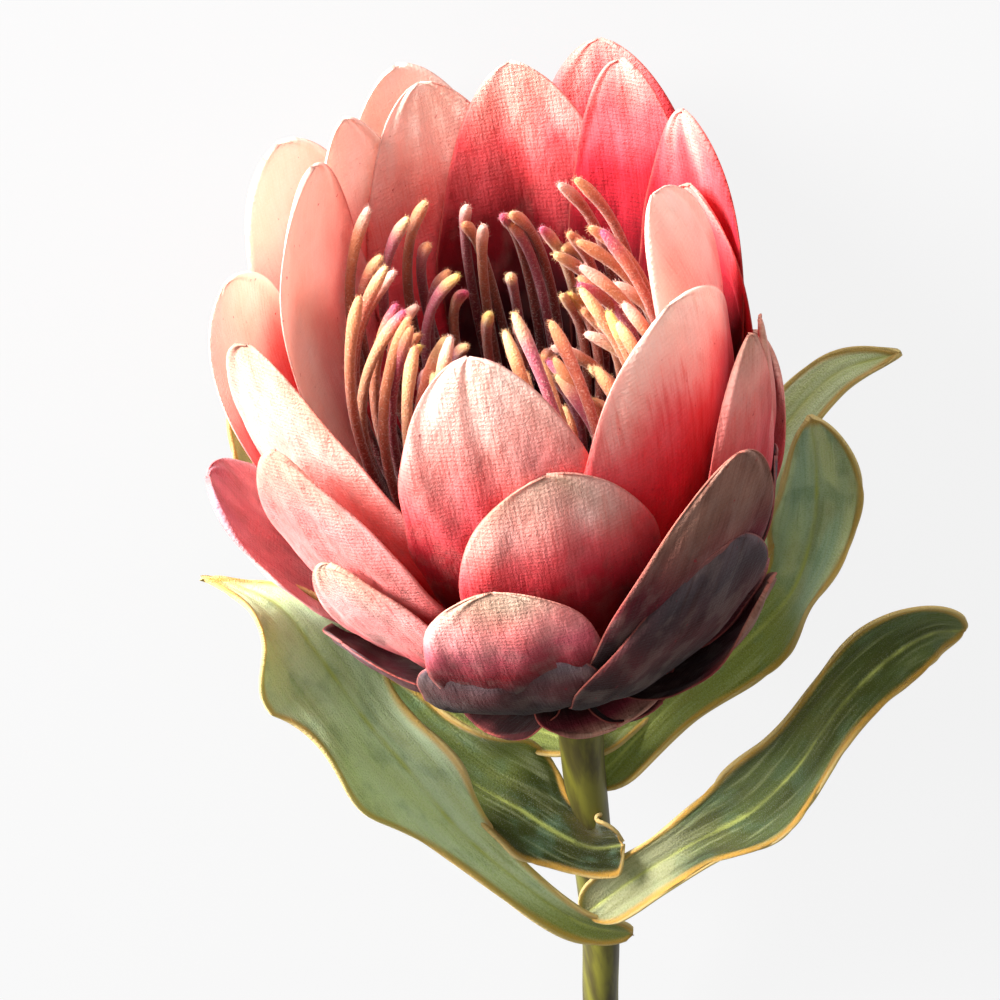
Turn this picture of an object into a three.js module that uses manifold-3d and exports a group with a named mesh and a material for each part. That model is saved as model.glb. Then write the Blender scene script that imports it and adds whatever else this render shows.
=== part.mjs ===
// A protea flower on a cut stem, lying on its back on a flat surface.
// Millimetres. It is drawn upright first: the stem meets the head at the origin, the head's axis is +Z,
// its front is towards -Y and its right side towards +X. Each point is then laid down by lieDown(),
// which turns the head towards -Y, the front up, and sets the lowest points on z = 0.
import * as THREE from "three";
import Module from "manifold-3d";

const wasm = await Module();
wasm.setup();

// Sizes shared by the pieces
const BLADE = 0.8; // thickness of bracts and leaves
const CLEAR = 0.3; // gap where two pieces would touch
const DEGREE = Math.PI / 180;

// How the flower lies: the head's axis rises by this angle, and the head's base is this high
const AXIS_RISE = 11.3 * DEGREE;
const BASE_HEIGHT = 38.31;
const PRESS_SOFTNESS = 1; // how gently a blade that meets the surface flattens onto it
const PRESSED_LAYER = 1.2; // pressed blades lie this far above the layer below them
const PRESS_FADE = 4; // the higher, the nearer to its tip a bract keeps that distance
const CENTRE_X = 6.57; // moves the whole flower so that it is centred over the origin
const CENTRE_Y = -21.67;

// Head core: radius at height, in three slices with a gap between them
const CUP = [[6, 0], [8.5, 4], [12, 8], [16.5, 13], [20.5, 18.5], [22.7, 24.7]];
const COLLAR = [[22.8, 25], [23.3, 27], [22, 29.7]];
const DOME = [[21.5, 30], [20.5, 34], [16.5, 38.5], [9, 41.5], [3, 42.5]];
const CORE_SIDES = 18;

// Bract rows from the inside out. root: radius and height where the row starts; lean: angle from
// the head's axis at the root, half way and at the tip, in degrees; layer: how many rows it lies on
// where the head touches the surface; cells: how many facets it has across and along.
const ROWS = {
  1: { root: [19, 27.5], lean: [42, 10, -8], layer: 3, cells: [4, 6] },
  2: { root: [21, 26], lean: [54, 12, -6], layer: 2, cells: [4, 6] },
  3: { root: [21.5, 23], lean: [64, 28, 6], layer: 1, cells: [3, 5] },
  4: { root: [19.5, 18], lean: [74, 36, 10], layer: 0, cells: [3, 4] },
  5: { root: [10, 11], lean: [82, 80, 76], layer: 0, cells: [3, 3] },
  6: { root: [8, 7], lean: [90, 90, 85], layer: 0, cells: [3, 2] },
};

// One line per bract: azimuth from the front towards the right, length, width, and what is its own.
// sway: how far its tip stands to the side; skew: how much further one edge stands in at the tip.
const BRACTS = [
  { row: 1, azimuth: -10, length: 99, width: 37, widest: 0.6, sway: -1 },
  { row: 1, azimuth: 41, length: 92, width: 51, lean: [42, 10, -10], widest: 0.64, blunt: 2.6, sway: 1 },
  { row: 1, azimuth: 76, length: 100, width: 40, lean: [42, 2, -24], blunt: 1.4, skew: -0.6 },
  { row: 1, azimuth: 116, length: 99, width: 32, blunt: 1.6 },
  { row: 1, azimuth: 138, length: 104, width: 32, blunt: 1.5 },
  { row: 1, azimuth: 167, length: 102, width: 42, blunt: 1.3 },
  { row: 1, azimuth: 190, length: 101, width: 38 },
  { row: 1, azimuth: 212, length: 100, width: 30 },
  { row: 1, azimuth: 240, length: 104, width: 36, lean: [40, 10, -24], skew: -0.2 },
  { row: 1, azimuth: 303, length: 98, width: 42, lean: [42, 18, -2], sway: -5 },
  { row: 2, azimuth: 1, length: 75, width: 39, lean: [48, 18, -8], blunt: 2.6 },
  { row: 2, azimuth: 38, length: 84, width: 23, lean: [54, 13, -12], sway: 16 },
  { row: 2, azimuth: 78, length: 74, width: 30, lean: [54, 18, -9] },
  { row: 2, azimuth: 112, length: 87, width: 32, lean: [50, 5, -12] },
  { row: 2, azimuth: 150, length: 106, width: 40 },
  { row: 2, azimuth: 192, length: 105, width: 40 },
  { row: 2, azimuth: 222, length: 101, width: 36, blunt: 3, skew: -0.15 },
  { row: 2, azimuth: 258, length: 91, width: 38, blunt: 3.4, skew: -0.4 },
  { row: 2, azimuth: 313, length: 85, width: 32, lean: [50, 20, 3], sway: -6 },
  { row: 3, azimuth: -12, length: 61, width: 33, lean: [68, 26, -6], blunt: 3.4, cup: 1.3, sway: -2 },
  { row: 3, azimuth: 21, length: 77, width: 36, lean: [62, 17, -4], sway: 17 },
  { row: 3, azimuth: 74, length: 48, width: 32, lean: [62, 30, 8] },
  { row: 3, azimuth: 105, length: 58, width: 31, lean: [63, 27, 2] },
  { row: 3, azimuth: 150, length: 66, width: 36 },
  { row: 3, azimuth: 190, length: 66, width: 36 },
  { row: 3, azimuth: 230, length: 64, width: 36 },
  { row: 3, azimuth: 264, length: 62, width: 38, lean: [68, 40, 20], blunt: 2.6, cup: 1.3 },
  { row: 3, azimuth: 320, length: 63, width: 27, lean: [56, 28, 8], sway: -8 },
  { row: 4, azimuth: -17, length: 50, width: 36, lean: [72, 34, 2], blunt: 4, cup: 1.3 },
  { row: 4, azimuth: 19, length: 64, width: 38, lean: [68, 27, -2], sway: 16 },
  { row: 4, azimuth: 72, length: 31, width: 30, lean: [72, 46, 34] },
  { row: 4, azimuth: 108, length: 44, width: 34, lean: [74, 30, 2] },
  { row: 4, azimuth: 144, length: 46, width: 34 },
  { row: 4, azimuth: 180, length: 46, width: 34 },
  { row: 4, azimuth: 216, length: 46, width: 34 },
  { row: 4, azimuth: 300, length: 42, width: 36, lean: [74, 44, 20] },
  { row: 5, azimuth: -54, length: 14, width: 34 },
  { row: 5, azimuth: 16, length: 14, width: 36, lean: [84, 100, 116] },
  { row: 5, azimuth: 50, length: 53, width: 30, lean: [84, 52, 12], sway: 4 },
  { row: 5, azimuth: 74, length: 24, width: 26 },
  { row: 5, azimuth: 120, length: 18, width: 34 },
  { row: 5, azimuth: 168, length: 18, width: 34 },
  { row: 5, azimuth: 216, length: 18, width: 34 },
  { row: 5, azimuth: 262, length: 18, width: 34 },
  { row: 6, azimuth: -50, length: 17, width: 32 },
  { row: 6, azimuth: 45, length: 15.5, width: 32 },
  { row: 6, azimuth: 110, length: 14, width: 32 },
  { row: 6, azimuth: 180, length: 14, width: 32 },
  { row: 6, azimuth: 250, length: 14, width: 32 },
];
const BRACT_BASE = 0.4; // root width as a share of the greatest width
const BRACT_WIDEST = 0.55; // where along its length a bract is widest
const BRACT_BLUNT = 1.8; // the higher, the squarer the tip
const BRACT_TIP = 1.7; // the higher, the rounder the tip
const TIGHTEST_CUP = 14; // least radius a bract is curled to across its width
const BRACT_SKEW = 0.1; // one edge stands in and the other out, so that neighbours overlap like tiles
const BRACT_CROWD = 0.5; // how much closer together its rows of facets are at the tip
const PROFILE_STEPS = 120; // steps in which a bract's lean is added up to its profile
const LEAST_HALF_WIDTH = 0.6; // of any blade, at its tip

// Floret rings from the outside in: how many, and radius and height of root, middle and tip
const RINGS = [
  { count: 32, root: [17, 31.5], middle: [44, 84], tip: [23, 107] },
  { count: 28, root: [14, 34], middle: [38, 78], tip: [18, 97] },
  { count: 22, root: [10, 36], middle: [32, 70], tip: [14, 86] },
  { count: 10, root: [6, 37], middle: [20, 60], tip: [9, 72] },
];
const FLORET_RADIUS = 1.15;
const FLORET_SWELL = [0.8, 1, 0.95, 0.4]; // share of the radius from root to tip
const FLORET_SIDES = 4;
const FLORET_CROWD = 1.3; // how much closer together its rings are at the tip
// How far a floret strays: azimuth in shares of its place in the ring, tip in radians and millimetres
const STRAY = { azimuth: 0.3, tipAzimuth: 0.22, tipRadius: 5, tipHeight: 9 };
// Florets stand closer to the axis where an inner bract bends in over them
const BEND_IN = { azimuth: 84, reach: 30, share: 0.24 };

// Stem: points of its centre line and its radius at each
const STEM = [
  [0, 0, -0.3], [0, 0, -8], [-1, 0, -22], [-2.5, 0, -50], [-4, 0, -76], [-7, 0, -100],
  [-11, 0, -140], [-15, 0, -175],
];
const STEM_RADIUS = [6, 5, 4.6, 4.4, 4.2, 4.1, 4.1, 4.1];
const STEM_SIDES = 12;
const STEM_RINGS = 12;
const STEM_CROWD = 1.4; // how much closer together its rings are at the head

// Leaves, lowest first: points of the rib, and the way the upper face looks at each of them.
// wave: how far the edges wave out of the leaf's face; ripple: how far they wave within it, as a
// share of the width; slant: how much wider one half gets towards the tip.
const LEAVES = {
  leaf_lower_left: {
    rib: [
      [3, -4, -75], [-10, -7, -62], [-27, -10, -30], [-36, -12, -4], [-43, -12, 15], [-48, -11, 31],
      [-53, -9, 44], [-60, -6, 49], [-67, -4, 52],
    ],
    face: [
      [0.2, -0.9, 0.3], [0.1, -0.9, 0.5], [0.2, -0.8, 0.5], [0.4, -0.8, 0.3], [0.5, -0.8, 0.2],
      [0.5, -0.8, 0.3], [0.4, -0.6, 0.6], [0.3, -0.2, 0.9], [0.2, 0.2, 0.9],
    ],
    width: 27, widest: 0.62, base: 0.25, ease: 2.4, blunt: 1, tip: 0.75, bow: 0.5,
    wave: 2.6, waves: 3.2, ripple: 0.2, shift: 4.7, slant: -0.3,
  },
  leaf_lower_right: {
    rib: [
      [-7, -5, -64], [6, -7, -53], [19, -12, -40], [31, -16, -30], [41, -19, -17], [51, -20, -1],
      [62, -17, 7], [72, -13, 8], [80, -9, 3],
    ],
    face: [
      [-0.2, -0.8, 0.4], [-0.2, -0.8, 0.5], [0, -0.8, 0.5], [-0.4, -0.7, 0.5], [-0.7, -0.7, 0.3],
      [-0.5, -0.9, 0.2], [-0.3, -0.9, 0.2], [-0.1, -0.9, 0.3], [0.1, -0.9, 0.2],
    ],
    width: 17, widest: 0.65, base: 0.6, ease: 0.7, blunt: 2, bow: 0.6, wave: 1.8,
    waves: 2.4, ripple: 0.2, shift: 0.25, slant: -0.2,
  },
  leaf_middle_right: {
    rib: [
      [0, 2, -32], [20, 10, -20], [36, 16, -14], [49, 20, -5], [56, 24, 9], [58, 26, 22], [58, 26, 37],
    ],
    face: [
      [-0.4, -0.7, 0.6], [-0.4, -0.7, 0.6], [-0.4, -0.7, 0.5], [-0.8, -0.5, 0.3], [-0.3, -0.9, 0.1],
      [0, -0.9, 0.2], [0.2, -0.9, 0.3],
    ],
    width: 19, widest: 0.72, base: 0.6, blunt: 2.4, bow: 0.5, wave: 2.2, waves: 2.5,
    ripple: 0.1,
  },
  leaf_upper_left: {
    rib: [
      [4, -7, -42], [-3, -6, -42], [-10, -5, -36], [-16, -3, -30], [-25, -1, -21], [-33, 0, -8],
      [-39, 1, 3], [-44, 2, 11],
    ],
    face: [
      [0.3, -0.9, 0.3], [0.3, -0.8, 0.5], [0.2, -0.8, 0.6], [0.2, -0.8, 0.6], [0.1, -0.8, 0.6],
      [0, -0.7, 0.7], [0, -0.6, 0.8], [0, -0.6, 0.8],
    ],
    width: 19, widest: 0.5, base: 0.7, blunt: 1.6, bow: 0.5, wave: 2.2, waves: 2,
    ripple: 0.25, slant: 0.5,
  },
  leaf_upper_right: {
    rib: [
      [0, 3, -24], [15, 16, -21], [30, 26, -10], [42, 34, 4], [50, 38, 20], [65, 40, 35], [80, 39, 39],
    ],
    face: [
      [-0.4, -0.7, 0.6], [-0.4, -0.7, 0.6], [-0.4, -0.7, 0.5], [-0.4, -0.7, 0.5], [-0.3, -0.6, 0.7],
      [-0.1, -0.6, 0.8], [0, -0.6, 0.8],
    ],
    width: 17, widest: 0.5, base: 0.4, blunt: 1.4, bow: 0.5, wave: 1.5, waves: 2,
    ripple: 0.08,
  },
  leaf_behind_left: {
    rib: [
      [0, 2, -20], [-20, 14, -13], [-40, 26, 16], [-53, 33, 42], [-56, 36, 57], [-55, 37, 77],
    ],
    face: [
      [0.5, -0.7, 0.5], [0.5, -0.7, 0.5], [0.6, -0.6, 0.4], [0.9, -0.5, 0.3], [0.9, -0.4, 0.2],
      [0.9, -0.4, 0.1],
    ],
    width: 20, widest: 0.5, base: 0.4, blunt: 2.4, bow: 0.5, wave: 1.5, waves: 2,
    ripple: 0.08,
  },
};
const LEAF_BLUNT = 1.7;
const LEAF_TIP = 1.5;
const WAVE_SHIFT = 1.6; // the left edge waves out of step with the right one
const LEAF_CELLS = { across: 4, along: 14 };
const LEAF_CROWD = 0.3; // how much closer together its rows of facets are at the tip

const colours = {
  florets: 0xc98a5e,
  inner_bracts: 0xe8757a,
  outer_bracts: 0x8a4048,
  leaf: 0x6f8f5f,
  stem: 0x8c8a3a,
};

// Half-width along a blade, as a share of the greatest: v runs from the root, 0, to the tip, 1
function outline(v, widest, base, blunt, tip, ease) {
  if (v < widest) return base + (1 - base) * Math.sin((Math.PI / 2) * (v / widest)) ** ease;
  const t = (v - widest) / (1 - widest);
  return Math.max(1 - t ** blunt, 0) ** (1 / tip);
}

// Rows of a blade from root to tip, closer together at the tip
function rowsToTip(count, crowd) {
  const rows = [];
  for (let i = 0; i <= count; i += 1) {
    const s = i / count;
    rows.push((1 - crowd) * s + crowd * Math.sin((Math.PI / 2) * s));
  }
  return rows;
}

// A smooth curve through the points, t from 0 to 1
function along(points, t) {
  const spans = points.length - 1;
  const i = Math.min(Math.floor(t * spans), spans - 1);
  const f = t * spans - i;
  const at = (k) => {
    if (k < 0) return points[0].map((p, c) => 2 * p - points[1][c]);
    if (k > spans) return points[spans].map((p, c) => 2 * p - points[spans - 1][c]);
    return points[k];
  };
  const [a, b, c, d] = [at(i - 1), at(i), at(i + 1), at(i + 2)];
  return b.map((_, k) => {
    const linear = (c[k] - a[k]) * f;
    const square = (2 * a[k] - 5 * b[k] + 4 * c[k] - d[k]) * f ** 2;
    const cube = (3 * b[k] - a[k] - 3 * c[k] + d[k]) * f ** 3;
    return 0.5 * (2 * b[k] + linear + square + cube);
  });
}

// From the upright flower to the one lying down
function lieDown(p) {
  const [x, y, z] = p;
  return new THREE.Vector3(
    CENTRE_X - x,
    CENTRE_Y - y * Math.sin(AXIS_RISE) - z * Math.cos(AXIS_RISE),
    BASE_HEIGHT - y * Math.cos(AXIS_RISE) + z * Math.sin(AXIS_RISE),
  );
}

// A blade's point lies down too, and bends onto the surface where it would go below it
function pressDown(p, layer) {
  const q = lieDown(p);
  const lowest = BLADE / 2 + layer * PRESSED_LAYER;
  const over = (q.z - lowest) / PRESS_SOFTNESS;
  q.z = lowest + PRESS_SOFTNESS * (over > 30 ? over : Math.log1p(Math.exp(over)));
  return q;
}

// Middle surface of a bract: it leans out and closes again along its length, and is curled across
function bractGrid(bract, grow) {
  const row = ROWS[bract.row];
  const lean = bract.lean ?? row.lean;
  const cup = bract.cup ?? 1;
  const [across, rows] = row.cells;
  const leanAt = (s) =>
    ((1 - s) ** 2 * lean[0] + 2 * s * (1 - s) * lean[1] + s ** 2 * lean[2]) * DEGREE;
  const profile = [[row.root[0], row.root[1]]];
  const step = bract.length / PROFILE_STEPS;
  for (let k = 0; k < PROFILE_STEPS; k += 1) {
    const angle = leanAt((k + 0.5) / PROFILE_STEPS);
    const [r, z] = profile[k];
    profile.push([r + Math.sin(angle) * step, z + Math.cos(angle) * step]);
  }
  const side = new THREE.Vector2(Math.cos(bract.azimuth * DEGREE), Math.sin(bract.azimuth * DEGREE));
  const out = new THREE.Vector2(Math.sin(bract.azimuth * DEGREE), -Math.cos(bract.azimuth * DEGREE));
  return rowsToTip(rows, BRACT_CROWD).map((v) => {
    const [r, z] = profile[Math.round(v * PROFILE_STEPS)];
    const angle = leanAt(v);
    const blunt = bract.blunt ?? BRACT_BLUNT;
    const shape = outline(v, bract.widest ?? BRACT_WIDEST, BRACT_BASE, blunt, BRACT_TIP, 1);
    const half = Math.max(0.5 * bract.width * shape, LEAST_HALF_WIDTH) + grow;
    const sway = (bract.sway ?? 0) * v ** 2;
    const skew = BRACT_SKEW + (bract.skew ?? 0) * v ** 2;
    const curl = cup * Math.max(r, TIGHTEST_CUP);
    const points = [];
    for (let i = 0; i <= across; i += 1) {
      const turn = ((2 * i) / across - 1) * (half / curl);
      const sideways = curl * Math.sin(turn);
      const inwards = curl * (1 - Math.cos(turn)) + skew * sideways;
      const radial = r - Math.cos(angle) * inwards;
      const height = z + Math.sin(angle) * inwards;
      points.push(pressDown([
        out.x * radial + side.x * (sideways + sway),
        out.y * radial + side.y * (sideways + sway),
        height,
      ], row.layer * (1 - v ** PRESS_FADE)));
    }
    return points;
  });
}

// Middle surface of a leaf: bowed across its rib, with edges that wave
function leafGrid(leaf, grow) {
  const { across, along: rows } = LEAF_CELLS;
  return rowsToTip(rows, LEAF_CROWD).map((v) => {
    const rib = new THREE.Vector3(...along(leaf.rib, v));
    const ahead = new THREE.Vector3(...along(leaf.rib, Math.min(v + 0.005, 1)));
    const behind = new THREE.Vector3(...along(leaf.rib, Math.max(v - 0.005, 0)));
    const way = ahead.sub(behind).normalize();
    const face = new THREE.Vector3(...along(leaf.face, v));
    face.addScaledVector(way, -face.dot(way)).normalize();
    const side = new THREE.Vector3().crossVectors(way, face);
    const blunt = leaf.blunt ?? LEAF_BLUNT;
    const shape = outline(v, leaf.widest, leaf.base, blunt, leaf.tip ?? LEAF_TIP, leaf.ease ?? 1);
    const points = [];
    for (let i = 0; i <= across; i += 1) {
      const u = (2 * i) / across - 1;
      const phase = 2 * Math.PI * leaf.waves * v + (u < 0 ? leaf.shift ?? WAVE_SHIFT : 0);
      const ripple = 1 + leaf.ripple * Math.cos(phase) * Math.sin(Math.PI * v);
      const slant = 1 + (leaf.slant ?? 0) * Math.sign(u) * v;
      const half = Math.max(0.5 * leaf.width * shape * ripple * slant, LEAST_HALF_WIDTH) + grow;
      const wave = leaf.wave * Math.sqrt(Math.sin(Math.PI * v)) * Math.sin(phase) * u ** 2;
      const sideways = (half * Math.sin(u * leaf.bow)) / leaf.bow;
      const up = (half * (1 - Math.cos(u * leaf.bow))) / leaf.bow + wave;
      const p = rib.clone().addScaledVector(side, sideways).addScaledVector(face, up);
      points.push(pressDown(p.toArray(), 0));
    }
    return points;
  });
}

// Closed solid from points and triangles
function solid(points, triangles) {
  const made = new wasm.Manifold(new wasm.Mesh({
    numProp: 3,
    vertProperties: new Float32Array(points.flatMap((p) => [p.x, p.y, p.z])),
    triVerts: new Uint32Array(triangles.flat()),
  }));
  return made;
}

// Blade of even thickness about a grid of points, both faces split into triangles alike
function blade(grid, thickness) {
  const rows = grid.length;
  const columns = grid[0].length;
  const top = [];
  const bottom = [];
  grid.forEach((line, j) => line.forEach((p, i) => {
    const acrossWay = line[Math.min(i + 1, columns - 1)].clone().sub(line[Math.max(i - 1, 0)]);
    const alongWay = grid[Math.min(j + 1, rows - 1)][i].clone().sub(grid[Math.max(j - 1, 0)][i]);
    const normal = new THREE.Vector3().crossVectors(acrossWay, alongWay).normalize();
    top.push(p.clone().addScaledVector(normal, thickness / 2));
    bottom.push(p.clone().addScaledVector(normal, -thickness / 2));
  }));
  const under = top.length;
  const triangles = [];
  const quad = (a, b, c, d) => triangles.push([a, b, c], [a, c, d]);
  for (let j = 0; j < rows - 1; j += 1) {
    for (let i = 0; i < columns - 1; i += 1) {
      const a = j * columns + i;
      const b = a + 1;
      const c = b + columns;
      const d = a + columns;
      quad(a, b, c, d);
      triangles.push([under + a, under + c, under + b], [under + a, under + d, under + c]);
    }
  }
  const rim = [];
  for (let i = 0; i < columns - 1; i += 1) rim.push(i);
  for (let j = 0; j < rows - 1; j += 1) rim.push(j * columns + columns - 1);
  for (let i = columns - 1; i > 0; i -= 1) rim.push((rows - 1) * columns + i);
  for (let j = rows - 1; j > 0; j -= 1) rim.push(j * columns);
  rim.forEach((a, k) => {
    const b = rim[(k + 1) % rim.length];
    quad(a, under + a, under + b, b);
  });
  return solid([...top, ...bottom], triangles);
}

// Round body about a centre line: each ring has a centre, two unit vectors and a radius
function roundBody(rings, sides) {
  const points = [];
  const triangles = [];
  rings.forEach(({ centre, first, second, radius }) => {
    for (let i = 0; i < sides; i += 1) {
      const turn = (2 * Math.PI * i) / sides;
      const p = centre.clone().addScaledVector(first, radius * Math.cos(turn));
      points.push(p.addScaledVector(second, radius * Math.sin(turn)));
    }
  });
  for (let j = 0; j < rings.length - 1; j += 1) {
    for (let i = 0; i < sides; i += 1) {
      const a = j * sides + i;
      const b = j * sides + ((i + 1) % sides);
      triangles.push([a, b, b + sides], [a, b + sides, a + sides]);
    }
  }
  const last = (rings.length - 1) * sides;
  for (let i = 1; i < sides - 1; i += 1) {
    triangles.push([0, i + 1, i], [last, last + i, last + i + 1]);
  }
  return solid(points.map((p) => lieDown(p.toArray())), triangles);
}

// Tube along a curve of upright points
function tube(path, radii, sides) {
  const rings = path.map((p, k) => {
    const ahead = new THREE.Vector3(...path[Math.min(k + 1, path.length - 1)]);
    const behind = new THREE.Vector3(...path[Math.max(k - 1, 0)]);
    const way = ahead.sub(behind).normalize();
    const first = new THREE.Vector3(1, 0, 0).addScaledVector(way, -way.x).normalize();
    const second = new THREE.Vector3().crossVectors(way, first);
    return { centre: new THREE.Vector3(...p), first, second, radius: radii[k] };
  });
  return roundBody(rings, sides);
}

// Body of revolution about the head's axis
function turned(profile, grow) {
  const first = new THREE.Vector3(1, 0, 0);
  const second = new THREE.Vector3(0, 1, 0);
  const ends = profile.length - 1;
  const rings = profile.map(([radius, z], k) => {
    const shift = k === 0 ? -grow : k === ends ? grow : 0;
    return { centre: new THREE.Vector3(0, 0, z + shift), first, second, radius: radius + grow };
  });
  return roundBody(rings, CORE_SIDES);
}

// A number from -1 to 1 that looks random and is always the same for the same two numbers
function scatter(i, k) {
  const s = Math.sin(i * 12.9898 + k * 78.233) * 43758.5453;
  return 2 * (s - Math.floor(s)) - 1;
}

// One floret of a ring: it rises from the dome, swings out and bends back in at its tip
function floret(ring, ringNumber, i) {
  const seed = 100 * ringNumber + i;
  const place = i + 0.5 * (ringNumber % 2) + STRAY.azimuth * scatter(seed, 1);
  const azimuth = (place * 2 * Math.PI) / ring.count;
  const off = Math.abs(((azimuth / DEGREE - BEND_IN.azimuth + 540) % 360) - 180) / BEND_IN.reach;
  const room = 1 - BEND_IN.share * Math.exp(-(off ** 2));
  const tipAzimuth = azimuth + STRAY.tipAzimuth * scatter(seed, 2);
  const tipRadius = (ring.tip[0] + STRAY.tipRadius * scatter(seed, 3)) * room;
  const tipHeight = ring.tip[1] + STRAY.tipHeight * scatter(seed, 4);
  const polar = (r, a, z) => [r * Math.sin(a), -r * Math.cos(a), z];
  const root = polar(ring.root[0], azimuth, ring.root[1]);
  const middle = polar(ring.middle[0] * (0.5 + 0.5 * room), azimuth, ring.middle[1]);
  const tip = polar(tipRadius, tipAzimuth, tipHeight);
  const last = FLORET_SWELL.length - 1;
  const path = FLORET_SWELL.map((_, k) => {
    const t = 1 - (1 - k / last) ** FLORET_CROWD;
    return root.map((p, c) => (1 - t) ** 2 * p + 2 * t * (1 - t) * middle[c] + t ** 2 * tip[c]);
  });
  return tube(path, FLORET_SWELL.map((share) => share * FLORET_RADIUS), FLORET_SIDES);
}

// Joins solids into one
function fused(solids) {
  return wasm.Manifold.union(solids);
}

// The largest separate piece of a solid that has been cut
function mainPiece(cut) {
  const pieces = cut.decompose();
  return pieces.reduce((best, piece) => (piece.volume() > best.volume() ? piece : best));
}

function bractSolid(bract, grow) {
  return blade(bractGrid(bract, grow), BLADE + 2 * grow);
}

function stemSolid(grow) {
  const path = [];
  const radii = [];
  for (let k = 0; k <= STEM_RINGS; k += 1) {
    const t = (k / STEM_RINGS) ** STEM_CROWD;
    path.push(along(STEM, t));
    radii.push(along(STEM_RADIUS.map((r) => [r]), t)[0] + grow);
  }
  return tube(path, radii, STEM_SIDES);
}

function named(name, body, colour) {
  const made = body.getMesh();
  const geometry = new THREE.BufferGeometry();
  geometry.setAttribute("position", new THREE.BufferAttribute(made.vertProperties.slice(), 3));
  geometry.setIndex([...made.triVerts]);
  geometry.computeVertexNormals();
  const material = new THREE.MeshStandardMaterial({ color: colour, roughness: 0.8, metalness: 0 });
  const mesh = new THREE.Mesh(geometry, material);
  mesh.name = name;
  return mesh;
}

const innerRows = BRACTS.filter((bract) => bract.row <= 2);
const outerRows = BRACTS.filter((bract) => bract.row > 2);

const innerBody = fused([turned(COLLAR, 0), ...innerRows.map((bract) => bractSolid(bract, 0))]);
const innerRoom = fused([turned(COLLAR, CLEAR), ...innerRows.map((bract) => bractSolid(bract, CLEAR))]);
const outerBody = fused([turned(CUP, 0), ...outerRows.map((bract) => bractSolid(bract, 0))]);
const outerRoom = fused([turned(CUP, CLEAR), ...outerRows.map((bract) => bractSolid(bract, CLEAR))]);
const floretBody = fused([
  turned(DOME, 0),
  ...RINGS.flatMap((ring, n) => Array.from({ length: ring.count }, (_, i) => floret(ring, n, i))),
]);
const stemRoom = stemSolid(CLEAR);

const group = new THREE.Group();
group.add(named("stem", stemSolid(0), colours.stem));
group.add(named("florets", floretBody, colours.florets));
group.add(named("inner_bracts", mainPiece(innerBody.subtract(turned(DOME, CLEAR))), colours.inner_bracts));
group.add(named("outer_bracts", mainPiece(outerBody.subtract(innerRoom)), colours.outer_bracts));

// A leaf is cut clear of the stem, the head and the leaves before it
let taken = fused([stemRoom, innerRoom, outerRoom]);
Object.entries(LEAVES).forEach(([name, leaf]) => {
  const body = mainPiece(blade(leafGrid(leaf, 0), BLADE).subtract(taken));
  group.add(named(name, body, colours.leaf));
  taken = taken.add(blade(leafGrid(leaf, CLEAR), BLADE + 2 * CLEAR));
});

export default group;
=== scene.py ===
"""A protea bloom on a cut leafy stem, lying on its back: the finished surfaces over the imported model.

Shapes are worked out in millimetres on the upright flower, where the stem meets the head at the origin,
the head's axis is +Z, its front is towards -Y and its right side towards +X. lie_down() then lays them on
the surface.
"""

import bpy
import numpy as np
from mathutils import Matrix, Vector


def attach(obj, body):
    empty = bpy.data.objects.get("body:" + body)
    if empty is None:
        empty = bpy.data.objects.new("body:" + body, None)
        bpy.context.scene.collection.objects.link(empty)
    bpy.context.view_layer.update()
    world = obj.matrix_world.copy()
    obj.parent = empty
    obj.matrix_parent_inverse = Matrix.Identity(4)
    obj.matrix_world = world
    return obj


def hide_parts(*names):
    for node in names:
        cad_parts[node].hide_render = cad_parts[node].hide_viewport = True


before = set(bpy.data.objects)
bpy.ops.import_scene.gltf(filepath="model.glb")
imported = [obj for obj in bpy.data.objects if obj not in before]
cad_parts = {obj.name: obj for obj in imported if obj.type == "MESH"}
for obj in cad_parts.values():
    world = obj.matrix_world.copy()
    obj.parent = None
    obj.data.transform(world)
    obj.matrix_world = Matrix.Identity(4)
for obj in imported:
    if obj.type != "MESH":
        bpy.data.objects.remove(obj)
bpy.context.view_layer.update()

# Sizes shared by the pieces, in millimetres
MM = 0.001
DEGREE = np.pi / 180
BLADE = 0.6  # thickness of bracts and leaves, before their own profile
LEAST_HALF_WIDTH = 0.25  # a blade's half-width where its outline closes

# How the flower lies: the head's axis rises by this angle, and the head's base is this high
AXIS_RISE = 11.3 * DEGREE
BASE_HEIGHT = 38.31

# Where the head's base is moved, so that the whole flower is centred over the origin
CENTRE_X = 6.57
CENTRE_Y = -21.67

# How the blades at the back are pressed onto the surface
LOWEST = 0.4  # least height of a blade's middle
PRESS_SOFTNESS = 1.0  # over about this height a blade flattens
PRESSED_LAYER = 1.2  # from one pressed row to the next
PRESS_FADE = 4  # the higher, the nearer to its tip a bract keeps that distance

MARK_SPAN = 10  # distances painted on a blade for its material are divided by this

# A bract's usual outline, as outline() takes it, and how much one edge stands in
BRACT_BASE = 0.4
BRACT_WIDEST = 0.55
BRACT_BLUNT = 1.8
BRACT_TIP = 1.7
BRACT_SKEW = 0.1
TIGHTEST_CUP = 14.0  # least radius of the arc across a bract

# Bract rows from the inside out: root radius and height, lean in degrees at the root, towards the middle and
# at the tip, and how many pressed rows it lies on
ROWS = {
    1: {"root": (19, 27.5), "lean": (42, 10, -8), "layer": 3},
    2: {"root": (21, 26), "lean": (54, 12, -6), "layer": 2},
    3: {"root": (21.5, 23), "lean": (64, 28, 6), "layer": 1},
    4: {"root": (19.5, 18), "lean": (74, 36, 10), "layer": 0},
    5: {"root": (10, 11), "lean": (82, 80, 76), "layer": 0},
    6: {"root": (8, 7), "lean": (90, 90, 85), "layer": 0},
}


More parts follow.
